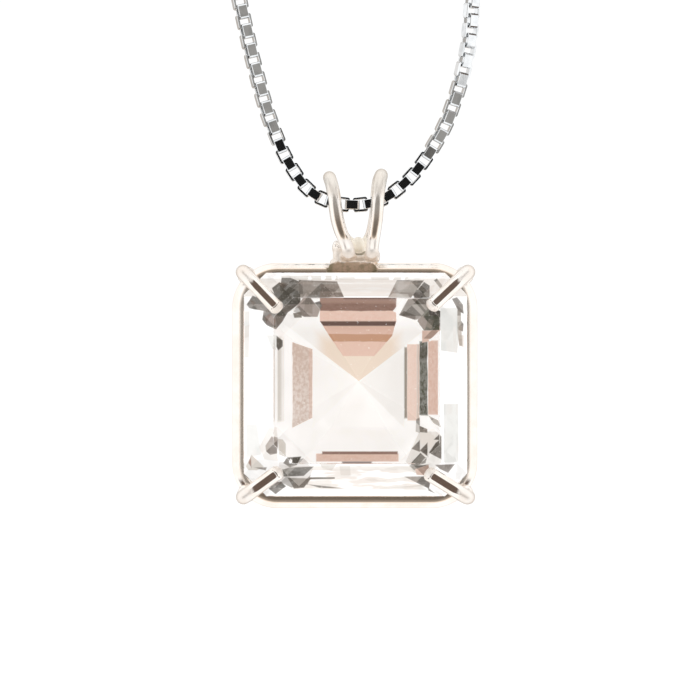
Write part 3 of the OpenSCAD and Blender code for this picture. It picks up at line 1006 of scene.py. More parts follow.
    @staticmethod
    def _facet(g: Graph, flat: Signal, points: Sequence[tuple[float, float]]) -> Signal:
        """Masks the inside of a convex outline.

        Args:
            g: The material's graph.
            flat: The shaded point's vector with a depth of 1.
            points: The outline's corners, either way round.

        Returns:
            The mask.
        """
        middle = np.mean(points, axis=0)
        sides = []
        for a, b in zip(points, [*points[1:], points[0]]):
            across = np.array([b[1] - a[1], a[0] - b[0]]) / math.dist(a, b)
            across *= math.copysign(1.0, across @ (middle - a))
            plane = (across[0], -(across @ np.array(a)), across[1])
            sides.append(
                g.add("ShaderNodeVectorMath", {"operation": "DOT_PRODUCT"}, {0: flat, 1: plane}, "Value")
            )
        return reduce(Signal.__and__, sides).rise(-HAIR, HAIR)


@dataclass(frozen=True)
class PaleFloor:
    """Plain pale studio floor with the faintest grain."""

    tone: Colour = (0.93, 0.93, 0.925)
    grained: Colour = (0.95, 0.95, 0.945)
    matt: float = 0.6
    glow: float = 0.22
    relief: float = 0.05

    def material(self) -> bpy.types.Material:
        """Builds the finish.

        Returns:
            The material.
        """
        made, g = new_material("pale_floor")
        grain = g.place(HANGING_POINT).noise(scale=0.4, detail=4)
        g.surface(g.principled({
            "Base Color": g.mix(grain, self.tone, self.grained), "Roughness": self.matt,
            "Emission Color": (1.0, 1.0, 1.0, 1.0), "Emission Strength": self.glow,
            "Normal": g.bump(grain, self.relief),
        }))
        return made


# Mesh building

WIRE_SIDES = 32
BEND_STEPS = 12
TIP_ANGLES = np.radians([12, 24, 36, 48, 60, 72, 84])
EGG_STEPS = 10
TURNED_STEPS = 40
HOOP_STEPS = 96
HOOP_SIDES = 20
RAIL_SIDES = 24
QUARTER_STEPS = 25
TO_FRONT = np.array([0.0, -1.0, 0.0])
OFF_AXIS = np.array([0.31, 0.87, 0.39])


def unit(v: np.ndarray) -> np.ndarray:
    """A vector of length 1 in the same direction."""
    return v / np.linalg.norm(v)


def rounded_path(corners: Sequence[Sequence[float]], bend: float) -> np.ndarray:
    """Points along a bent wire.

    Args:
        corners: The wire's corner points.
        bend: Radius of every bend.

    Returns:
        An array of points, one row each.
    """
    p = [np.array(c, float) for c in corners]
    made = [p[0]]
    for before, corner, after in zip(p, p[1:], p[2:]):
        u, v = unit(corner - before), unit(after - corner)
        turn = math.acos(float(np.clip(u @ v, -1, 1)))
        trim = bend * math.tan(turn / 2)
        inward = unit(v - u * (u @ v))
        centre = corner - u * trim + inward * bend
        angles = [turn * i / BEND_STEPS for i in range(BEND_STEPS + 1)]
        made += [centre - inward * bend * math.cos(a) + u * bend * math.sin(a) for a in angles]
    return np.array([*made, p[-1]])


def smooth_line(points: Sequence[Sequence[float]], step: float) -> np.ndarray:
    """Draws a smooth line through points.

    Args:
        points: The points.
        step: Distance from one row of the result to the next, roughly.

    Returns:
        An array of points, one row each.
    """
    p = [np.array(c, float) for c in points]
    p = [2 * p[0] - p[1], *p, 2 * p[-1] - p[-2]]
    made = []
    for a, b, c, d in zip(p, p[1:], p[2:], p[3:]):
        n = max(2, int(np.linalg.norm(c - b) / step))
        for t in np.arange(n) / n:
            curve = (2 * a - 5 * b + 4 * c - d) * t**2 + (3 * b - a - 3 * c + d) * t**3
            made.append(0.5 * (2 * b + (c - a) * t + curve))
    return np.array([*made, p[-2]])


def resampled(path: np.ndarray, step: float) -> np.ndarray:
    """Adds points along a path's straight stretches.

    Args:
        path: The path's points.
        step: The most that two points may be apart.

    Returns:
        An array of points, one row each.
    """
    made = [path[0]]
    for a, b in zip(path, path[1:]):
        n = max(1, math.ceil(np.linalg.norm(b - a) / step))
        made += [a + (b - a) * (i + 1) / n for i in range(n)]
    return np.array(made)


class Shape:
    """Vertices and faces of one piece while it is built, in millimetres."""

    def __init__(self) -> None:
        """Starts empty."""
        self.points: list[Sequence[float]] = []
        self.faces: list[list[int]] = []

    def loft(self, rings: Sequence[np.ndarray], loop: bool = False) -> None:
        """Skins a row of rings.

        Args:
            rings: The rings, with equal counts of points.
            loop: Whether the last ring is joined to the first, instead of flat ends.
        """
        base, n, sides = len(self.points), len(rings), len(rings[0])
        for ring in rings:
            self.points.extend(ring)
        for i in range(n if loop else n - 1):
            a, b = base + i * sides, base + ((i + 1) % n) * sides
            self.faces += [[a + k, a + (k + 1) % sides, b + (k + 1) % sides, b + k] for k in range(sides)]
        if not loop:
            self.faces.append([base + k for k in range(sides)][::-1])
            self.faces.append([base + (n - 1) * sides + k for k in range(sides)])

    def wire(
        self, path: np.ndarray, radius: float, dome: float = 1.0,
        filed: Callable[[float, np.ndarray], float] = lambda share, point: 1.0,
    ) -> None:
        """Skins a round wire with rounded tips.

        Args:
            path: The wire's centreline.
            radius: The wire's radius.
            dome: Height of the rounded tips as a share of the radius.
            filed: Share of the radius left at the wire's front, from the share of its length and the place.
        """
        heads = [unit(path[min(i + 1, len(path) - 1)] - path[max(i - 1, 0)]) for i in range(len(path))]
        side = unit(np.cross(heads[0], OFF_AXIS))
        angles = np.arange(WIRE_SIDES) * math.tau / WIRE_SIDES
        rings, count = [], len(path) - 1
        for i, (point, head) in enumerate(zip(path, heads)):
            side = unit(side - head * (side @ head))
            across = np.cross(head, side)
            circle = [side * math.cos(a) + across * math.sin(a) for a in angles]
            front = unit(TO_FRONT + head * head[1])
            limit = filed(i / count, point) * radius
            rings.append(self._ring(point, circle, radius, front, limit))
            if i in (0, count):
                outward = (head if i else -head) * (radius * dome)
                tip = [
                    self._ring(point + outward * math.sin(t), circle, radius * math.cos(t), front, limit)
                    for t in TIP_ANGLES
                ]
                rings = [*rings, *tip] if i else [*tip[::-1], *rings]
        self.loft(rings)

    @staticmethod
    def _ring(
        centre: np.ndarray, circle: Sequence[np.ndarray], radius: float, front: np.ndarray, limit: float
    ) -> np.ndarray:
        """Makes a ring of points that is cut flat at its front.

        Args:
            centre: The ring's centre.
            circle: Directions from it.
            radius: The ring's radius.
            front: Direction to the front.
            limit: Distance from the centre to the cut.

        Returns:
            The ring's points, one row each.
        """
        cut = [c * radius - front * max(0.0, float(c @ front) * radius - limit) for c in circle]
        return np.array([centre + c for c in cut])

    def blob(self, centre: Sequence[float], radii: Sequence[float]) -> None:
        """Adds an egg.

        Args:
            centre: Its centre.
            radii: Its three radii.
        """
        rings = []
        for i in range(1, EGG_STEPS):
            a = math.pi * i / EGG_STEPS
            turns = np.arange(2 * EGG_STEPS) * math.pi / EGG_STEPS
            ring = [(math.sin(a) * math.cos(b), math.cos(a), math.sin(a) * math.sin(b)) for b in turns]
            rings.append(np.array(centre) + np.array(ring) * radii)
        self.loft(rings)

    def turned(self, profile: Sequence[tuple[float, float]], frame: Matrix) -> None:
        """Turns a profile about an axis.

        Args:
            profile: Radii and heights.
            frame: The axis's place, which is its z.
        """
        angles = np.arange(TURNED_STEPS) * math.tau / TURNED_STEPS
        self.loft([
            np.array([frame @ Vector((r * math.cos(a), r * math.sin(a), h)) for a in angles])
            for r, h in profile
        ])

    def hoop(self, radius: float, wire: Callable[[float], float], frame: Matrix) -> None:
        """Adds a ring round the frame's z axis.

        Args:
            radius: The ring's radius to the wire's centre.
            wire: The wire's radius, as a function of the angle round the ring.
            frame: The ring's place.
        """
        rings = []
        turns = np.arange(HOOP_SIDES) * math.tau / HOOP_SIDES
        for a in np.arange(HOOP_STEPS) * math.tau / HOOP_STEPS:
            out, r = Vector((math.cos(a), math.sin(a), 0.0)), wire(a)
            points = [out * (radius + r * math.cos(b)) + Vector((0.0, 0.0, r * math.sin(b))) for b in turns]
            rings.append(np.array([frame @ p for p in points]))
        self.loft(rings, loop=True)

    def piece(self, name: str, origin: Sequence[float]) -> bpy.types.Object:
        """Makes the piece, in metres.

        Args:
            name: Its name.
            origin: Where its own origin goes, in millimetres.

        Returns:
            The piece.
        """
        mesh = bpy.data.meshes.new(name)
        mesh.from_pydata([tuple(p) for p in self.points], [], self.faces)
        mesh.transform(Matrix.Scale(SCALE, 4) @ Matrix.Translation(Vector(origin)))
        made = bmesh.new()
        made.from_mesh(mesh)
        bmesh.ops.recalc_face_normals(made, faces=made.faces)
        made.to_mesh(mesh)
        made.free()
        obj = bpy.data.objects.new(name, mesh)
        bpy.context.scene.collection.objects.link(obj)
        return obj


def fused(shape: Shape, name: str, origin: Sequence[float], voxel: float, smoothing: int) -> bpy.types.Object:
    """Melts overlapping solids into one skin with soft joints, as solder does.

    Args:
        shape: Solids that overlap where they are joined.
        name: The piece's name.
        origin: Its place.
        voxel: Size of the remesh cells, in millimetres.
        smoothing: Rounds of smoothing.

    Returns:
        The finished piece.
    """
    mesh = bpy.data.meshes.new(name)
    mesh.from_pydata([tuple(p) for p in shape.points], [], shape.faces)
    obj = bpy.data.objects.new(name, mesh)
    bpy.context.scene.collection.objects.link(obj)
    remesh = obj.modifiers.new("fuse", "REMESH")
    remesh.mode, remesh.voxel_size = "VOXEL", voxel
    smooth = obj.modifiers.new("soften", "SMOOTH")
    smooth.factor, smooth.iterations = 0.5, smoothing
    bpy.context.view_layer.update()
    final = bpy.data.meshes.new_from_object(obj.evaluated_get(bpy.context.evaluated_depsgraph_get()))
    obj.modifiers.clear()
    obj.data = final
    bpy.data.meshes.remove(mesh)
    final.name = name
    final.transform(Matrix.Scale(SCALE, 4) @ Matrix.Translation(Vector(origin)))
    final.polygons.foreach_set("use_smooth", [True] * len(final.polygons))
    return obj


def smoothed(obj: bpy.types.Object, crease: float = 180.0) -> None:
    """Shades a piece smooth.

    Args:
        obj: The piece.
        crease: Edges sharper than this, in degrees, stay sharp.
    """
    obj.data.polygons.foreach_set("use_smooth", [True] * len(obj.data.polygons))
    obj.data.set_sharp_from_angle(angle=math.radians(crease))


def joined(name: str, parts: Sequence[bpy.types.Object]) -> bpy.types.Object:
    """Makes one piece of several, which are removed.

    Args:
        name: Its name.
        parts: The pieces, each in its place.

    Returns:
        The piece.
    """
    made = bmesh.new()
    for part in parts:
        made.from_mesh(part.data)
        old = part.data
        bpy.data.objects.remove(part)
        bpy.data.meshes.remove(old)
    mesh = bpy.data.meshes.new(name)
    made.to_mesh(mesh)
    made.free()
    obj = bpy.data.objects.new(name, mesh)
    bpy.context.scene.collection.objects.link(obj)
    return obj


def finish_piece(
    obj: bpy.types.Object, material: bpy.types.Material, body: Body, slot: Slot, node: str
) -> None:
    """Gives a piece its finish and its place in the part, and reports it.

    Args:
        obj: The piece.
        material: Its finish.
        body: The body it rides on.
        slot: Not used.
        node: The CAD node it stands for.
    """
    obj.data.materials.clear()
    obj.data.materials.append(material)
    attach(obj, body.value)
    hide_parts(node)
    LOG.info("%s: %d faces on %s", obj.name, len(obj.data.polygons), body.value)


# Studio


@dataclass
class Studio:
    """Camera, light and floor: a white room with a darker front, where the viewer stands."""

    frame_width: float = 46.97
    frame_centre: tuple[float, float] = (-0.37, -215.07)
    lens: float = 300.0
    sensor: float = 36.0
    bounces: int = 16
    floor_z: float = -262.0
    floor_half: float = 4000.0
    # Tones of the room, and the edges between them in degrees from the viewer
    viewer: Colour = (0.012, 0.012, 0.012)
    beside: Colour = (0.17, 0.16, 0.148)
    front: Colour = (0.35, 0.335, 0.315)
    walls: Colour = (1.13, 1.13, 1.13)
    behind: Colour = (0.56, 0.515, 0.47)
    brown: Colour = (0.142, 0.106, 0.087)
    viewer_edge: Edge = (5.0, 11.0)
    beside_edge: Edge = (16.0, 26.0)
    front_edge: Edge = (32.0, 44.0)
    behind_edge: Edge = (116.0, 156.0)
    # Brown stretches towards the room's corners: slope, degrees from the viewer, and how much less the
    # slope of the low ones is
    brown_steep: Band = (0.68, 1.36, 0.08)
    brown_off: Band = (55.0, 79.0, 3.0)
    brown_sag: float = 0.22
    backdrop: float = 1.05

    def build(self) -> None:
        """Sets up the camera, the room's light and the floor."""
        self._camera()
        self._room()
        self._floor()
        scene = bpy.context.scene
        scene.view_settings.view_transform = "Standard"
        scene.cycles.max_bounces = scene.cycles.transmission_bounces = self.bounces

    def _camera(self) -> None:
        """Makes the camera, level and square to the stone, a long lens away."""
        data = bpy.data.cameras.new("camera")
        data.lens, data.sensor_width = self.lens, self.sensor
        data.clip_start, data.clip_end = 0.01, 20.0
        camera = bpy.data.objects.new("camera", data)
        away = self.frame_width * self.lens / self.sensor
        camera.location = Vector((self.frame_centre[0], GIRDLE[1] - away, self.frame_centre[1])) * SCALE
        camera.rotation_euler = (math.radians(90), 0, 0)
        bpy.context.scene.collection.objects.link(camera)
        bpy.context.scene.camera = camera

    def _room(self) -> None:
        """Makes the room: white walls, and a brown front that goes dark round the viewer."""
        world = bpy.data.worlds.new("room")
        bpy.context.scene.world = world
        world.use_nodes = True
        g = Graph(world.node_tree)
        way = g.add("ShaderNodeTexCoord", out="Generated")
        x, y, z = g.axes(way)
        off = (y * -1.0).math("ARCCOSINE") * math.degrees(1.0)
        steep = abs(z) / (abs(x) + 0.001) + z.rise(0.0, -0.01) * self.brown_sag
        corner = steep.between(*self.brown_steep) & off.between(*self.brown_off)
        front = g.mix(off.rise(*self.viewer_edge), self.viewer, self.beside)
        front = g.mix(off.rise(*self.beside_edge), front, self.front)
        walls = g.mix(off.rise(*self.behind_edge), self.walls, self.behind)
        colour = g.mix(corner, g.mix(off.rise(*self.front_edge), front, walls), self.brown)
        lit = g.add("ShaderNodeBackground", None, {"Color": colour})
        white = {"Color": (1.0, 1.0, 1.0, 1.0), "Strength": self.backdrop}
        plain = g.add("ShaderNodeBackground", None, white)
        seen = g.add("ShaderNodeLightPath", out="Is Camera Ray")
        both = g.add("ShaderNodeMixShader", None, {0: seen, 1: lit, 2: plain})
        g.surface(both, "ShaderNodeOutputWorld")

    def _floor(self) -> None:
        """Makes the floor under the hanging pendant."""
        shape, h = Shape(), self.floor_half
        shape.points = [(-h, -h, 0), (h, -h, 0), (h, h, 0), (-h, h, 0)]
        shape.faces = [[0, 1, 2, 3]]
        floor = shape.piece("floor", (0, 0, self.floor_z))
        floor.data.materials.append(PaleFloor().material())
        floor.visible_glossy = floor.visible_transmission = False
        floor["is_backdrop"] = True


# Pendant


@dataclass
class Setting:
    """Wire setting: two rails, four posts with claws, the solder tab and the double-loop bail."""

    rail_half: float = 7.8
    rail_corner: float = 2.6
    rail_y: float = 0.76
    back_half: float = 5.6
    back_corner: float = 2.2
    back_y: float = 5.26
    rail_r: float = 0.45
    claw_r: float = 0.5
    bail_r: float = 0.43
    crease: float = 25.0
    solder: float = 0.25
    elbow_bend: float = 0.7
    crown_slope: float = 0.662
    claw_foot: float = 0.75
    elbow_out: float = 0.25
    step: float = 0.12
    # Claws: angle about the stone's axis, and the tip to the right and up of its centre
    claws: tuple = ((45, (4.93, 5.1)), (135, (-5.07, 4.95)), (225, (-4.98, -5.7)), (315, (4.72, -5.82)))
    # Bail's wire from its left front foot to its right one: right, back and up of the stone's centre
    bail: tuple = (
        (-0.47, -0.78, 8.9), (-0.58, -0.58, 9.25), (-0.77, -0.37, 9.75), (-1.02, -0.3, 10.4),
        (-1.2, -0.21, 11.1), (-1.33, -0.05, 11.9), (-1.42, 0.14, 12.6), (-1.56, 0.42, 13.3),
        (-1.7, 0.88, 13.78), (-1.76, 1.5, 13.93), (-1.74, 2.2, 13.86), (-1.62, 2.85, 13.5),
        (-1.5, 3.2, 12.8), (-1.38, 3.05, 11.9), (-1.2, 2.7, 10.9), (-0.85, 2.3, 10.0),
        (-0.35, 2.05, 9.48), (0.22, 1.98, 9.34), (0.7, 2.05, 9.48), (1.05, 2.3, 10.0),
        (1.28, 2.7, 10.9), (1.4, 3.05, 11.9), (1.46, 3.25, 12.9), (1.55, 2.95, 13.65),
        (1.68, 2.2, 14.02), (1.74, 1.5, 14.1), (1.72, 0.88, 13.93), (1.62, 0.42, 13.4),
        (1.52, 0.14, 12.7), (1.46, -0.05, 11.9), (1.4, -0.21, 11.1), (1.3, -0.3, 10.4),
        (1.2, -0.37, 9.75), (1.13, -0.58, 9.25), (1.1, -0.78, 8.9),
    )
    # Tab's outline, to the right and up of the stone's centre
    tab: tuple = (
        (-1.9, 7.6), (1.45, 7.6), (1.4, 7.95), (1.1, 8.15), (0.3, 8.3), (-0.6, 8.15), (-1.4, 8.2),
        (-1.75, 8.05),
    )
    tab_front: float = 0.3
    tab_back: float = 1.9
    claw_filed: float = 0.16
    claw_dome: float = 0.6
    claw_ease: float = 0.7
    elbow_y: float = -0.16
    leg_filed: float = 0.085
    leg_worn: tuple[float, float] = (9.75, 12.6)
    leg_back: float = 1.0
    leg_ease: tuple[float, float] = (0.8, 0.6)
    run_in: float = 0.28
    # Lumps of solder round the bail's feet: centre and three radii
    lumps: tuple = (
        (-0.2, 1.0, 8.2, 1.55, 0.8, 0.52), (0.35, 0.7, 8.4, 1.1, 0.62, 0.42),
        (-0.5, 0.24, 8.68, 0.52, 0.8, 0.42), (1.08, 0.24, 8.68, 0.5, 0.8, 0.4),
        (-1.12, 0.8, 8.7, 0.42, 0.5, 0.62), (-1.28, 1.1, 9.15, 0.3, 0.4, 0.55),
        (1.42, 0.95, 8.6, 0.24, 0.4, 0.45), (0.2, 1.5, 8.8, 0.7, 0.7, 0.6),
        (0.19, 1.0, 9.36, 0.45, 0.45, 0.58),
    )
    # Lumps at the posts: distance from the stone's axis, place back, and radii across and back
    elbow_lump: tuple[float, float, float, float] = (10.35, 0.02, 0.62, 0.5)
    post_lump_y: float = 0.05
    post_lump: Point = (0.52, 0.5, 0.52)
    front_shift: tuple[float, float] = (-0.05, -0.08)
    # Front rail's wire cut across at the sides, and above and below: outwards and back from its centre
    side_section: tuple = (
        (-0.45, 0.0), (-0.42, -0.2), (-0.36, -0.36), (-0.33, -0.4), (-0.31, -0.405), (-0.2, -0.383),
        (-0.07, -0.357), (-0.05, -0.345), (0.0, -0.317), (0.09, -0.26), (0.25, -0.15), (0.35, -0.06),
        (0.41, 0.03), (0.45, 0.12), (0.4, 0.27), (0.25, 0.38), (0.0, 0.45), (-0.25, 0.38), (-0.4, 0.22),
    )
    level_section: tuple = (
        (-0.45, 0.0), (-0.42, -0.2), (-0.36, -0.36), (-0.36, -0.38), (-0.34, -0.41), (-0.17, -0.39),
        (0.02, -0.367), (0.04, -0.357), (0.08, -0.335), (0.13, -0.27), (0.25, -0.17), (0.35, -0.07),
        (0.41, 0.02), (0.45, 0.12), (0.4, 0.27), (0.25, 0.38), (0.0, 0.45), (-0.25, 0.38), (-0.4, 0.22),
    )
    voxel: float = 0.06
    smoothing: int = 7

    def build(self) -> bpy.types.Object:
        """Builds the whole setting as one soldered piece.

        Returns:
            The piece.
        """
        rails = Shape()
        turns = np.arange(RAIL_SIDES) * math.tau / RAIL_SIDES
        wire = [(self.rail_r * math.cos(b), self.rail_r * math.sin(b)) for b in turns]
        self._rail(rails, self.rail_half, self.rail_corner, (*self.front_shift, self.rail_y),
                   self.side_section, self.level_section)
        self._rail(rails, self.back_half, self.back_corner, (0.0, 0.0, self.back_y), wire, wire)
        filed = rails.piece("rails", GIRDLE)
        smoothed(filed, self.crease)
        wires = Shape()
        for angle, tip in self.claws:
            self._claw(wires, math.radians(angle), tip)
        wires.wire(smooth_line(self.bail, self.step), self.bail_r, filed=self._worn_leg)
        bent = wires.piece("wires", GIRDLE)
        smoothed(bent)
        solder = Shape()
        self._tab(solder)
        self._joints(solder)
        melted = fused(solder, "solder", GIRDLE, self.voxel, self.smoothing)
        return joined("setting_wirework", [filed, bent, melted])

    def _joints(self, shape: Shape) -> None:
        """Adds the solder at the rails' posts, round the elbows, and at the bail's feet.

        Args:
            shape: Where it goes.
        """
        for half, corner, y in ((self.rail_half, self.rail_corner, self.rail_y),
                                (self.back_half, self.back_corner, self.back_y)):
            reach = self._reach(half, corner) - self.claw_r + self.solder / 2
            for angle, _ in self.claws:
                a = math.radians(angle)
                shape.blob((reach * math.cos(a), y + self.post_lump_y, reach * math.sin(a)), self.post_lump)
        reach, y, across, deep = self.elbow_lump
        for angle, _ in self.claws:
            a = math.radians(angle)
            shape.blob((reach * math.cos(a), y, reach * math.sin(a)), (across, deep, across))
        for x, y, z, rx, ry, rz in self.lumps:
            shape.blob((x, y, z), (rx, ry, rz))

    @staticmethod
    def _rail(shape: Shape, half: float, corner: float, middle: Sequence[float],
              beside: Sequence[tuple[float, float]], level: Sequence[tuple[float, float]]) -> None:
        """Adds one rounded-square rail.

        Args:
            shape: Where it goes.
            half: Half its width to the wire's centre.
            corner: Radius of its corners.
            middle: Its centre's x, z and depth.
            beside: The wire's cross-section at the left and right, as distances outwards and back.
            level: The same above and below.
        """
        run, rings = half - corner, []
        ends = np.array(beside), np.array(level)
        for quarter in range(4):
            turn = math.radians(90 * quarter)
            for t in np.radians(np.linspace(0, 90, QUARTER_STEPS)):
                a = turn + t
                mid = np.array([math.cos(turn) - math.sin(turn), 0, math.sin(turn) + math.cos(turn)]) * run
                out = np.array([math.cos(a), 0, math.sin(a)])
                centre = mid + out * corner + np.array([middle[0], middle[2], middle[1]])
                section = ends[0] + (ends[1] - ends[0]) * math.sin(a) ** 2
                rings.append(np.array([centre + out * u + np.array([0, v, 0]) for u, v in section]))
        shape.loft(rings, loop=True)

    def _reach(self, half: float, corner: float) -> float:
        """Distance from the stone's axis to a post's centre where it crosses a rail's corner."""
        return (half - corner) * math.sqrt(2) + corner + self.rail_r + self.claw_r - self.solder

    def _claw(self, shape: Shape, angle: float, tip: Sequence[float]) -> None:
        """Adds a post and its claw.

        Args:
            shape: Where they go.
            angle: Their angle about the stone's axis.
            tip: The claw's end, to the right and up of the stone's centre.
        """
        front = self._reach(self.rail_half, self.rail_corner)
        back = self._reach(self.back_half, self.back_corner)
        lean = (front - back) / (self.back_y - self.rail_y)
        out = np.array([math.cos(angle), 0.0, math.sin(angle)])
        foot = out * (back - lean * self.claw_foot) + [0.0, self.back_y + self.claw_foot, 0.0]
        elbow = out * (front + self.elbow_out) + [0.0, self.elbow_y, 0.0]
        inward = np.array([tip[0], self.elbow_y, tip[1]]) - elbow
        run = float(np.linalg.norm(inward)) - self.claw_r * self.claw_dome
        end = elbow + unit(inward) * run - [0.0, run * self.crown_slope, 0.0]
        bent = resampled(rounded_path([foot, elbow, end], self.elbow_bend), self.step)
        start = 1 - (run - self.elbow_bend) / float(np.linalg.norm(np.diff(bent, axis=0), axis=1).sum())

        def filed(share: float, point: np.ndarray) -> float:
            """Share of the radius left: less from the elbow on, where the claw was filed flat."""
            along = min(1.0, max(0.0, (share - start) / (1 - start) / self.run_in))
            return 1 - self.claw_filed * math.sin(math.pi / 2 * along) ** self.claw_ease

        shape.wire(bent, self.claw_r, dome=self.claw_dome, filed=filed)

    def _worn_leg(self, share: float, point: np.ndarray) -> float:
        """Finds how much of the bail's wire is left at its front, which is worn flat along both legs.

        Args:
            share: Not used.
            point: The place.

        Returns:
            The share of its radius.
        """
        low, high = self.leg_worn
        along = (high - point[2]) / (high - low)
        if point[1] > self.leg_back or not 0.0 < along < 1.0:
            return 1.0
        place, depth = self.leg_ease
        return 1 - self.leg_filed * math.sin(math.pi * along ** place) ** depth

    def _tab(self, shape: Shape) -> None:
        """Adds the solder tab under the bail.

        Args:
            shape: Where it goes.
        """
        front = np.array([[x, self.tab_front, z] for x, z in self.tab])
        back = front + np.array([0, self.tab_back - self.tab_front, 0])
        shape.loft([front, back])


@dataclass
class CutStone:
    """The faceted quartz, which keeps the solid's own facets."""

    def build(self, nodes: dict[str, bpy.types.Object]) -> None:
        """Dresses the stone's own solid.

        Args:
            nodes: The solids by name.
        """
        stone = nodes["stone"]
        stone.data.polygons.foreach_set("use_smooth", [False] * len(stone.data.polygons))
        stone.data.materials.clear()
        stone.data.materials.append(ClearQuartz().material())
        LOG.info("%s: %d facets' faces", stone.name, len(stone.data.polygons))


# Chain

LOOP_DROP = 205.3
LOW_LEFT = (
    (-7.85, 14), (-7.55, 12.6), (-7.25, 11.25), (-6.95, 9.95), (-6.6, 8.6), (-6.25, 7.3), (-5.85, 6),
    (-5.35, 4.7), (-4.8, 3.4), (-4.1, 2.2), (-3.35, 1.2), (-2.4, 0.5), (-1.2, 0.1),
)
LOW_RIGHT = (
    (1.2, 0.15), (2.1, 0.55), (2.95, 1.15), (3.85, 2), (4.7, 3.1), (5.4, 4.2), (6.05, 5.4),
    (6.55, 6.7), (7, 8.1), (7.35, 9.55), (7.6, 10.8), (7.75, 12.2), (7.9, 14),
)
HIGH = (
    (8.4, 17), (9.4, 23), (11, 34), (13.5, 50), (16.5, 70), (19.6, 90), (22.6, 110), (25.7, 130),
    (28.75, 150), (31.5, 168), (32, 173.3), (31.7, 177.75), (30.75, 182.1), (29.25, 186.3),
    (27.15, 190.25), (24.5, 193.85), (21.4, 197.1), (17.9, 199.85), (14.05, 202.05),
    (9.9, 203.75), (7.4, 204.45), (6.4, 204.62),
)


@dataclass
class BoxChain:
    """One strand of the box chain: square links of folded strip, each turned a quarter from the last."""

    side: Side
    link: float = 1.0
    strip_w: float = 0.62
    strip_t: float = 0.16
    pitch: float = 0.672
    corner: float = 0.13
    chamfer: float = 0.03
    inner_corner: float = 0.75
    last_gap: float = 0.4
    jitter: float = 1.2
    seed: int = 7
    # Distances from the lowest point, and the strand's turn at each in degrees
    twists: ClassVar[dict[Side, tuple]] = {
        Side.LEFT: ((0, 7.2, 8.6, 60), (0, 1.5, 13.5, 15)),
        Side.RIGHT: ((0, 6.0, 7.2, 10.6, 12.4, 14, 17, 60), (0, 1.5, 13.5, 15, 22, 25, 29, 31)),
    }
    starts: ClassVar[dict[Side, float]] = {Side.LEFT: 0.33, Side.RIGHT: 0.5}

    def build(self) -> bpy.types.Object:
        """Builds the strand's links from the lowest point up.

        Returns:
            The piece.
        """
        line = self._line()
        along = np.concatenate([[0], np.cumsum(np.linalg.norm(np.diff(line, axis=0), axis=1))])
        places = np.arange(self.starts[self.side], along[-1] / self.pitch - self.last_gap) * self.pitch
        dice = random.Random(self.seed + self.side.value)
        shape = Shape()
        link = self._link_rings()
        for i, s in enumerate(places):
            reach = self.pitch / 2
            centre, ahead, behind = (self._at(line, along, s + d) for d in (0, reach, -reach))
            head = unit(ahead - behind)
            quarter = (i + (1 if self.side is Side.LEFT else 0)) % 2 * 90
            turn = math.radians(quarter + self._twist(s) + dice.uniform(-self.jitter, self.jitter))
            side = unit(np.cross([0.0, 1.0, 0.0], head))
            u = side * math.cos(turn) + np.array([0.0, 1.0, 0.0]) * math.sin(turn)
            v = np.cross(head, u)
            shape.loft([centre + ring @ np.array([u, v, head]) for ring in link], loop=True)
        return shape.piece(f"box_chain_{self.side.name.lower()}", (0, 0, -LOOP_DROP))

    def _twist(self, s: float) -> float:
        """Turn of the strand about its own line, in degrees, at a distance from the lowest point."""
        places, turns = self.twists[self.side]
        return float(np.interp(s, places, turns))

    def _line(self) -> np.ndarray:
        """Draws the strand's line from the lowest point up.

        Returns:
            An array of points, one row each.
        """
        low = LOW_RIGHT if self.side is Side.RIGHT else LOW_LEFT[::-1]
        route = [(0, 0), *low, *((self.side.value * x, z) for x, z in HIGH)]
        return smooth_line([(x, 0.0, z) for x, z in route], 0.25)

    @staticmethod
    def _at(line: np.ndarray, along: np.ndarray, s: float) -> np.ndarray:
        """The point of a line at a distance along it."""
        return np.array([np.interp(s, along, line[:, k]) for k in range(3)])

    def _link_rings(self) -> list[np.ndarray]:
        """Makes the cross-sections of the folded strip round one link.

        Returns:
            Rings of points: across both ways, and along the chain.
        """
        h, w, t, c = self.link / 2, self.strip_w / 2, self.strip_t, self.chamfer
        half = [(0, w - c), (-c, w), (c - t, w), (-t, w - c)]
        profile = [*half, *((depth, -across) for depth, across in half[::-1])]
        rings = []
        for quarter in range(4):
            for step in (0, 45, 90):
                a = math.radians(90 * quarter + step)
                q = math.radians(90 * quarter)
                run = h - self.corner
                mid = np.array([run * (math.cos(q) - math.sin(q)), run * (math.sin(q) + math.cos(q))])
                out = np.array([math.cos(a), math.sin(a)])
                edge = mid + out * self.corner
                inner = self.inner_corner if step == 45 else 1.0
                ring = []
                for depth, across in profile:
                    aside, ahead = edge + out * depth * (1 if depth > -t / 2 else inner)
                    ring.append([aside, across, ahead])
                rings.append(np.array(ring))
        return rings


# Fastening

CAST_CREASE = 30.0


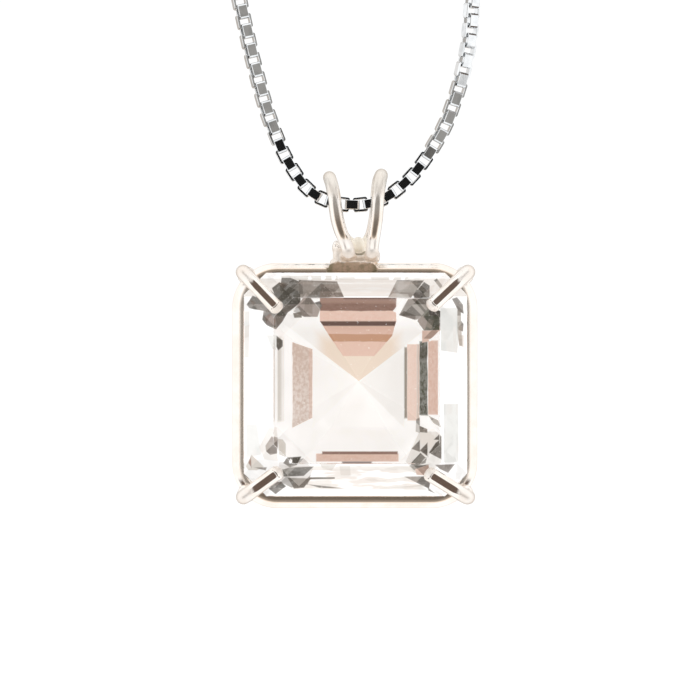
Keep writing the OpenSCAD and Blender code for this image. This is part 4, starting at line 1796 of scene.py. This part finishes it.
@dataclass
class Fastening:
    """End caps and ring clasp at the top of the loop."""

    eye_x: float = 3.9
    eye_z: float = -0.24
    eye_r: float = 0.95
    eye_wire: float = 0.5
    cap_dip: float = 10.0
    cap_profile: tuple = (
        (0.02, 1.0), (0.5, 1.0), (0.68, 1.05), (0.8, 1.16), (0.85, 1.3), (0.85, 1.44), (0.8, 1.49),
        (0.8, 1.6), (0.85, 1.65), (0.85, 2.95), (0.8, 3.0), (0.8, 3.11), (0.85, 3.16), (0.85, 3.35),
        (0.81, 3.4), (0.75, 3.4), (0.72, 3.36), (0.72, 2.1), (0.02, 2.1),
    )
    ring_x: float = 1.3
    ring_r: float = 2.5
    ring_wire: float = 1.0
    tongue_wire: float = 0.8
    tongue: tuple[float, float] = (82.0, 120.0)
    link_eye_x: float = -2.6
    knob_turn: float = 35.0
    knob_profile: tuple = (
        (0.02, 2.6), (0.26, 2.6), (0.26, 3.12), (0.3, 3.18), (0.38, 3.24), (0.4, 3.32), (0.4, 3.46),
        (0.36, 3.54), (0.24, 3.6), (0.02, 3.6),
    )

    def build(self, silver: bpy.types.Material) -> None:
        """Builds both end caps and the clasp.

        Args:
            silver: Their finish.
        """
        for side in Side:
            shape = Shape()
            tilt = Matrix.Rotation(math.radians(side.value * self.cap_dip), 4, "Y")
            place = Matrix.Translation((side.value * self.eye_x, 0.0, self.eye_z)) @ tilt
            shape.hoop(self.eye_r, lambda a: self.eye_wire / 2, place)
            shape.turned(self.cap_profile, place @ Matrix.Rotation(math.radians(90 * side.value), 4, "Y"))
            self._finish(shape, f"cap_{side.name.lower()}", silver, f"end_cap_{side.name.lower()}")
        shape = Shape()
        upright = Matrix.Rotation(math.radians(90), 4, "X")
        shape.hoop(self.ring_r, self._ring_wire, Matrix.Translation((self.ring_x, 0.0, 0.0)) @ upright)
        knob = Matrix.Rotation(math.radians(self.knob_turn), 4, "Y")
        shape.turned(self.knob_profile, Matrix.Translation((self.ring_x, 0.0, 0.0)) @ knob)
        link = Matrix.Translation((self.link_eye_x, 0.0, 0.0)) @ upright
        shape.hoop(self.eye_r, lambda a: self.eye_wire / 2, link)
        self._finish(shape, "ring_clasp", silver, "clasp")

    def _ring_wire(self, angle: float) -> float:
        """Radius of the clasp's wire, which is slimmer along the tongue that slides."""
        inside = self.tongue[0] < math.degrees(angle) < self.tongue[1]
        return (self.tongue_wire if inside else self.ring_wire) / 2

    @staticmethod
    def _finish(shape: Shape, name: str, silver: bpy.types.Material, node: str) -> None:
        """Makes one piece of the fastening.

        Args:
            shape: Its shape.
            name: Its name.
            silver: Its finish.
            node: The CAD node it stands for.
        """
        obj = shape.piece(name, (0.0, 0.0, 0.0))
        smoothed(obj, CAST_CREASE)
        finish_piece(obj, silver, Body.NECKLACE, Slot.SILVER, node)


def corners(box: tuple[Vector, Vector]) -> list[list[float]]:
    """A box as plain lists."""
    return [list(map(float, c)) for c in box]


def main() -> None:
    """Builds the studio and every piece, in order."""
    logging.basicConfig(level=logging.INFO, format="%(name)s: %(message)s")
    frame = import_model()
    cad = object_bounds()
    Studio().build()
    warm, silver = WarmMetal().material(), PolishedSilver().material()
    finish_piece(Setting().build(), warm, Body.PENDANT, Slot.WARM_METAL, "setting")
    CutStone().build(frame["nodes"])
    for side in Side:
        strand, node = BoxChain(side).build(), f"chain_{side.name.lower()}"
        finish_piece(strand, silver, Body.NECKLACE, Slot.SILVER, node)
    Fastening().build(silver)
    {"cad": corners(cad), "visual": corners(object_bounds())}


if __name__ == "__main__":
    main()
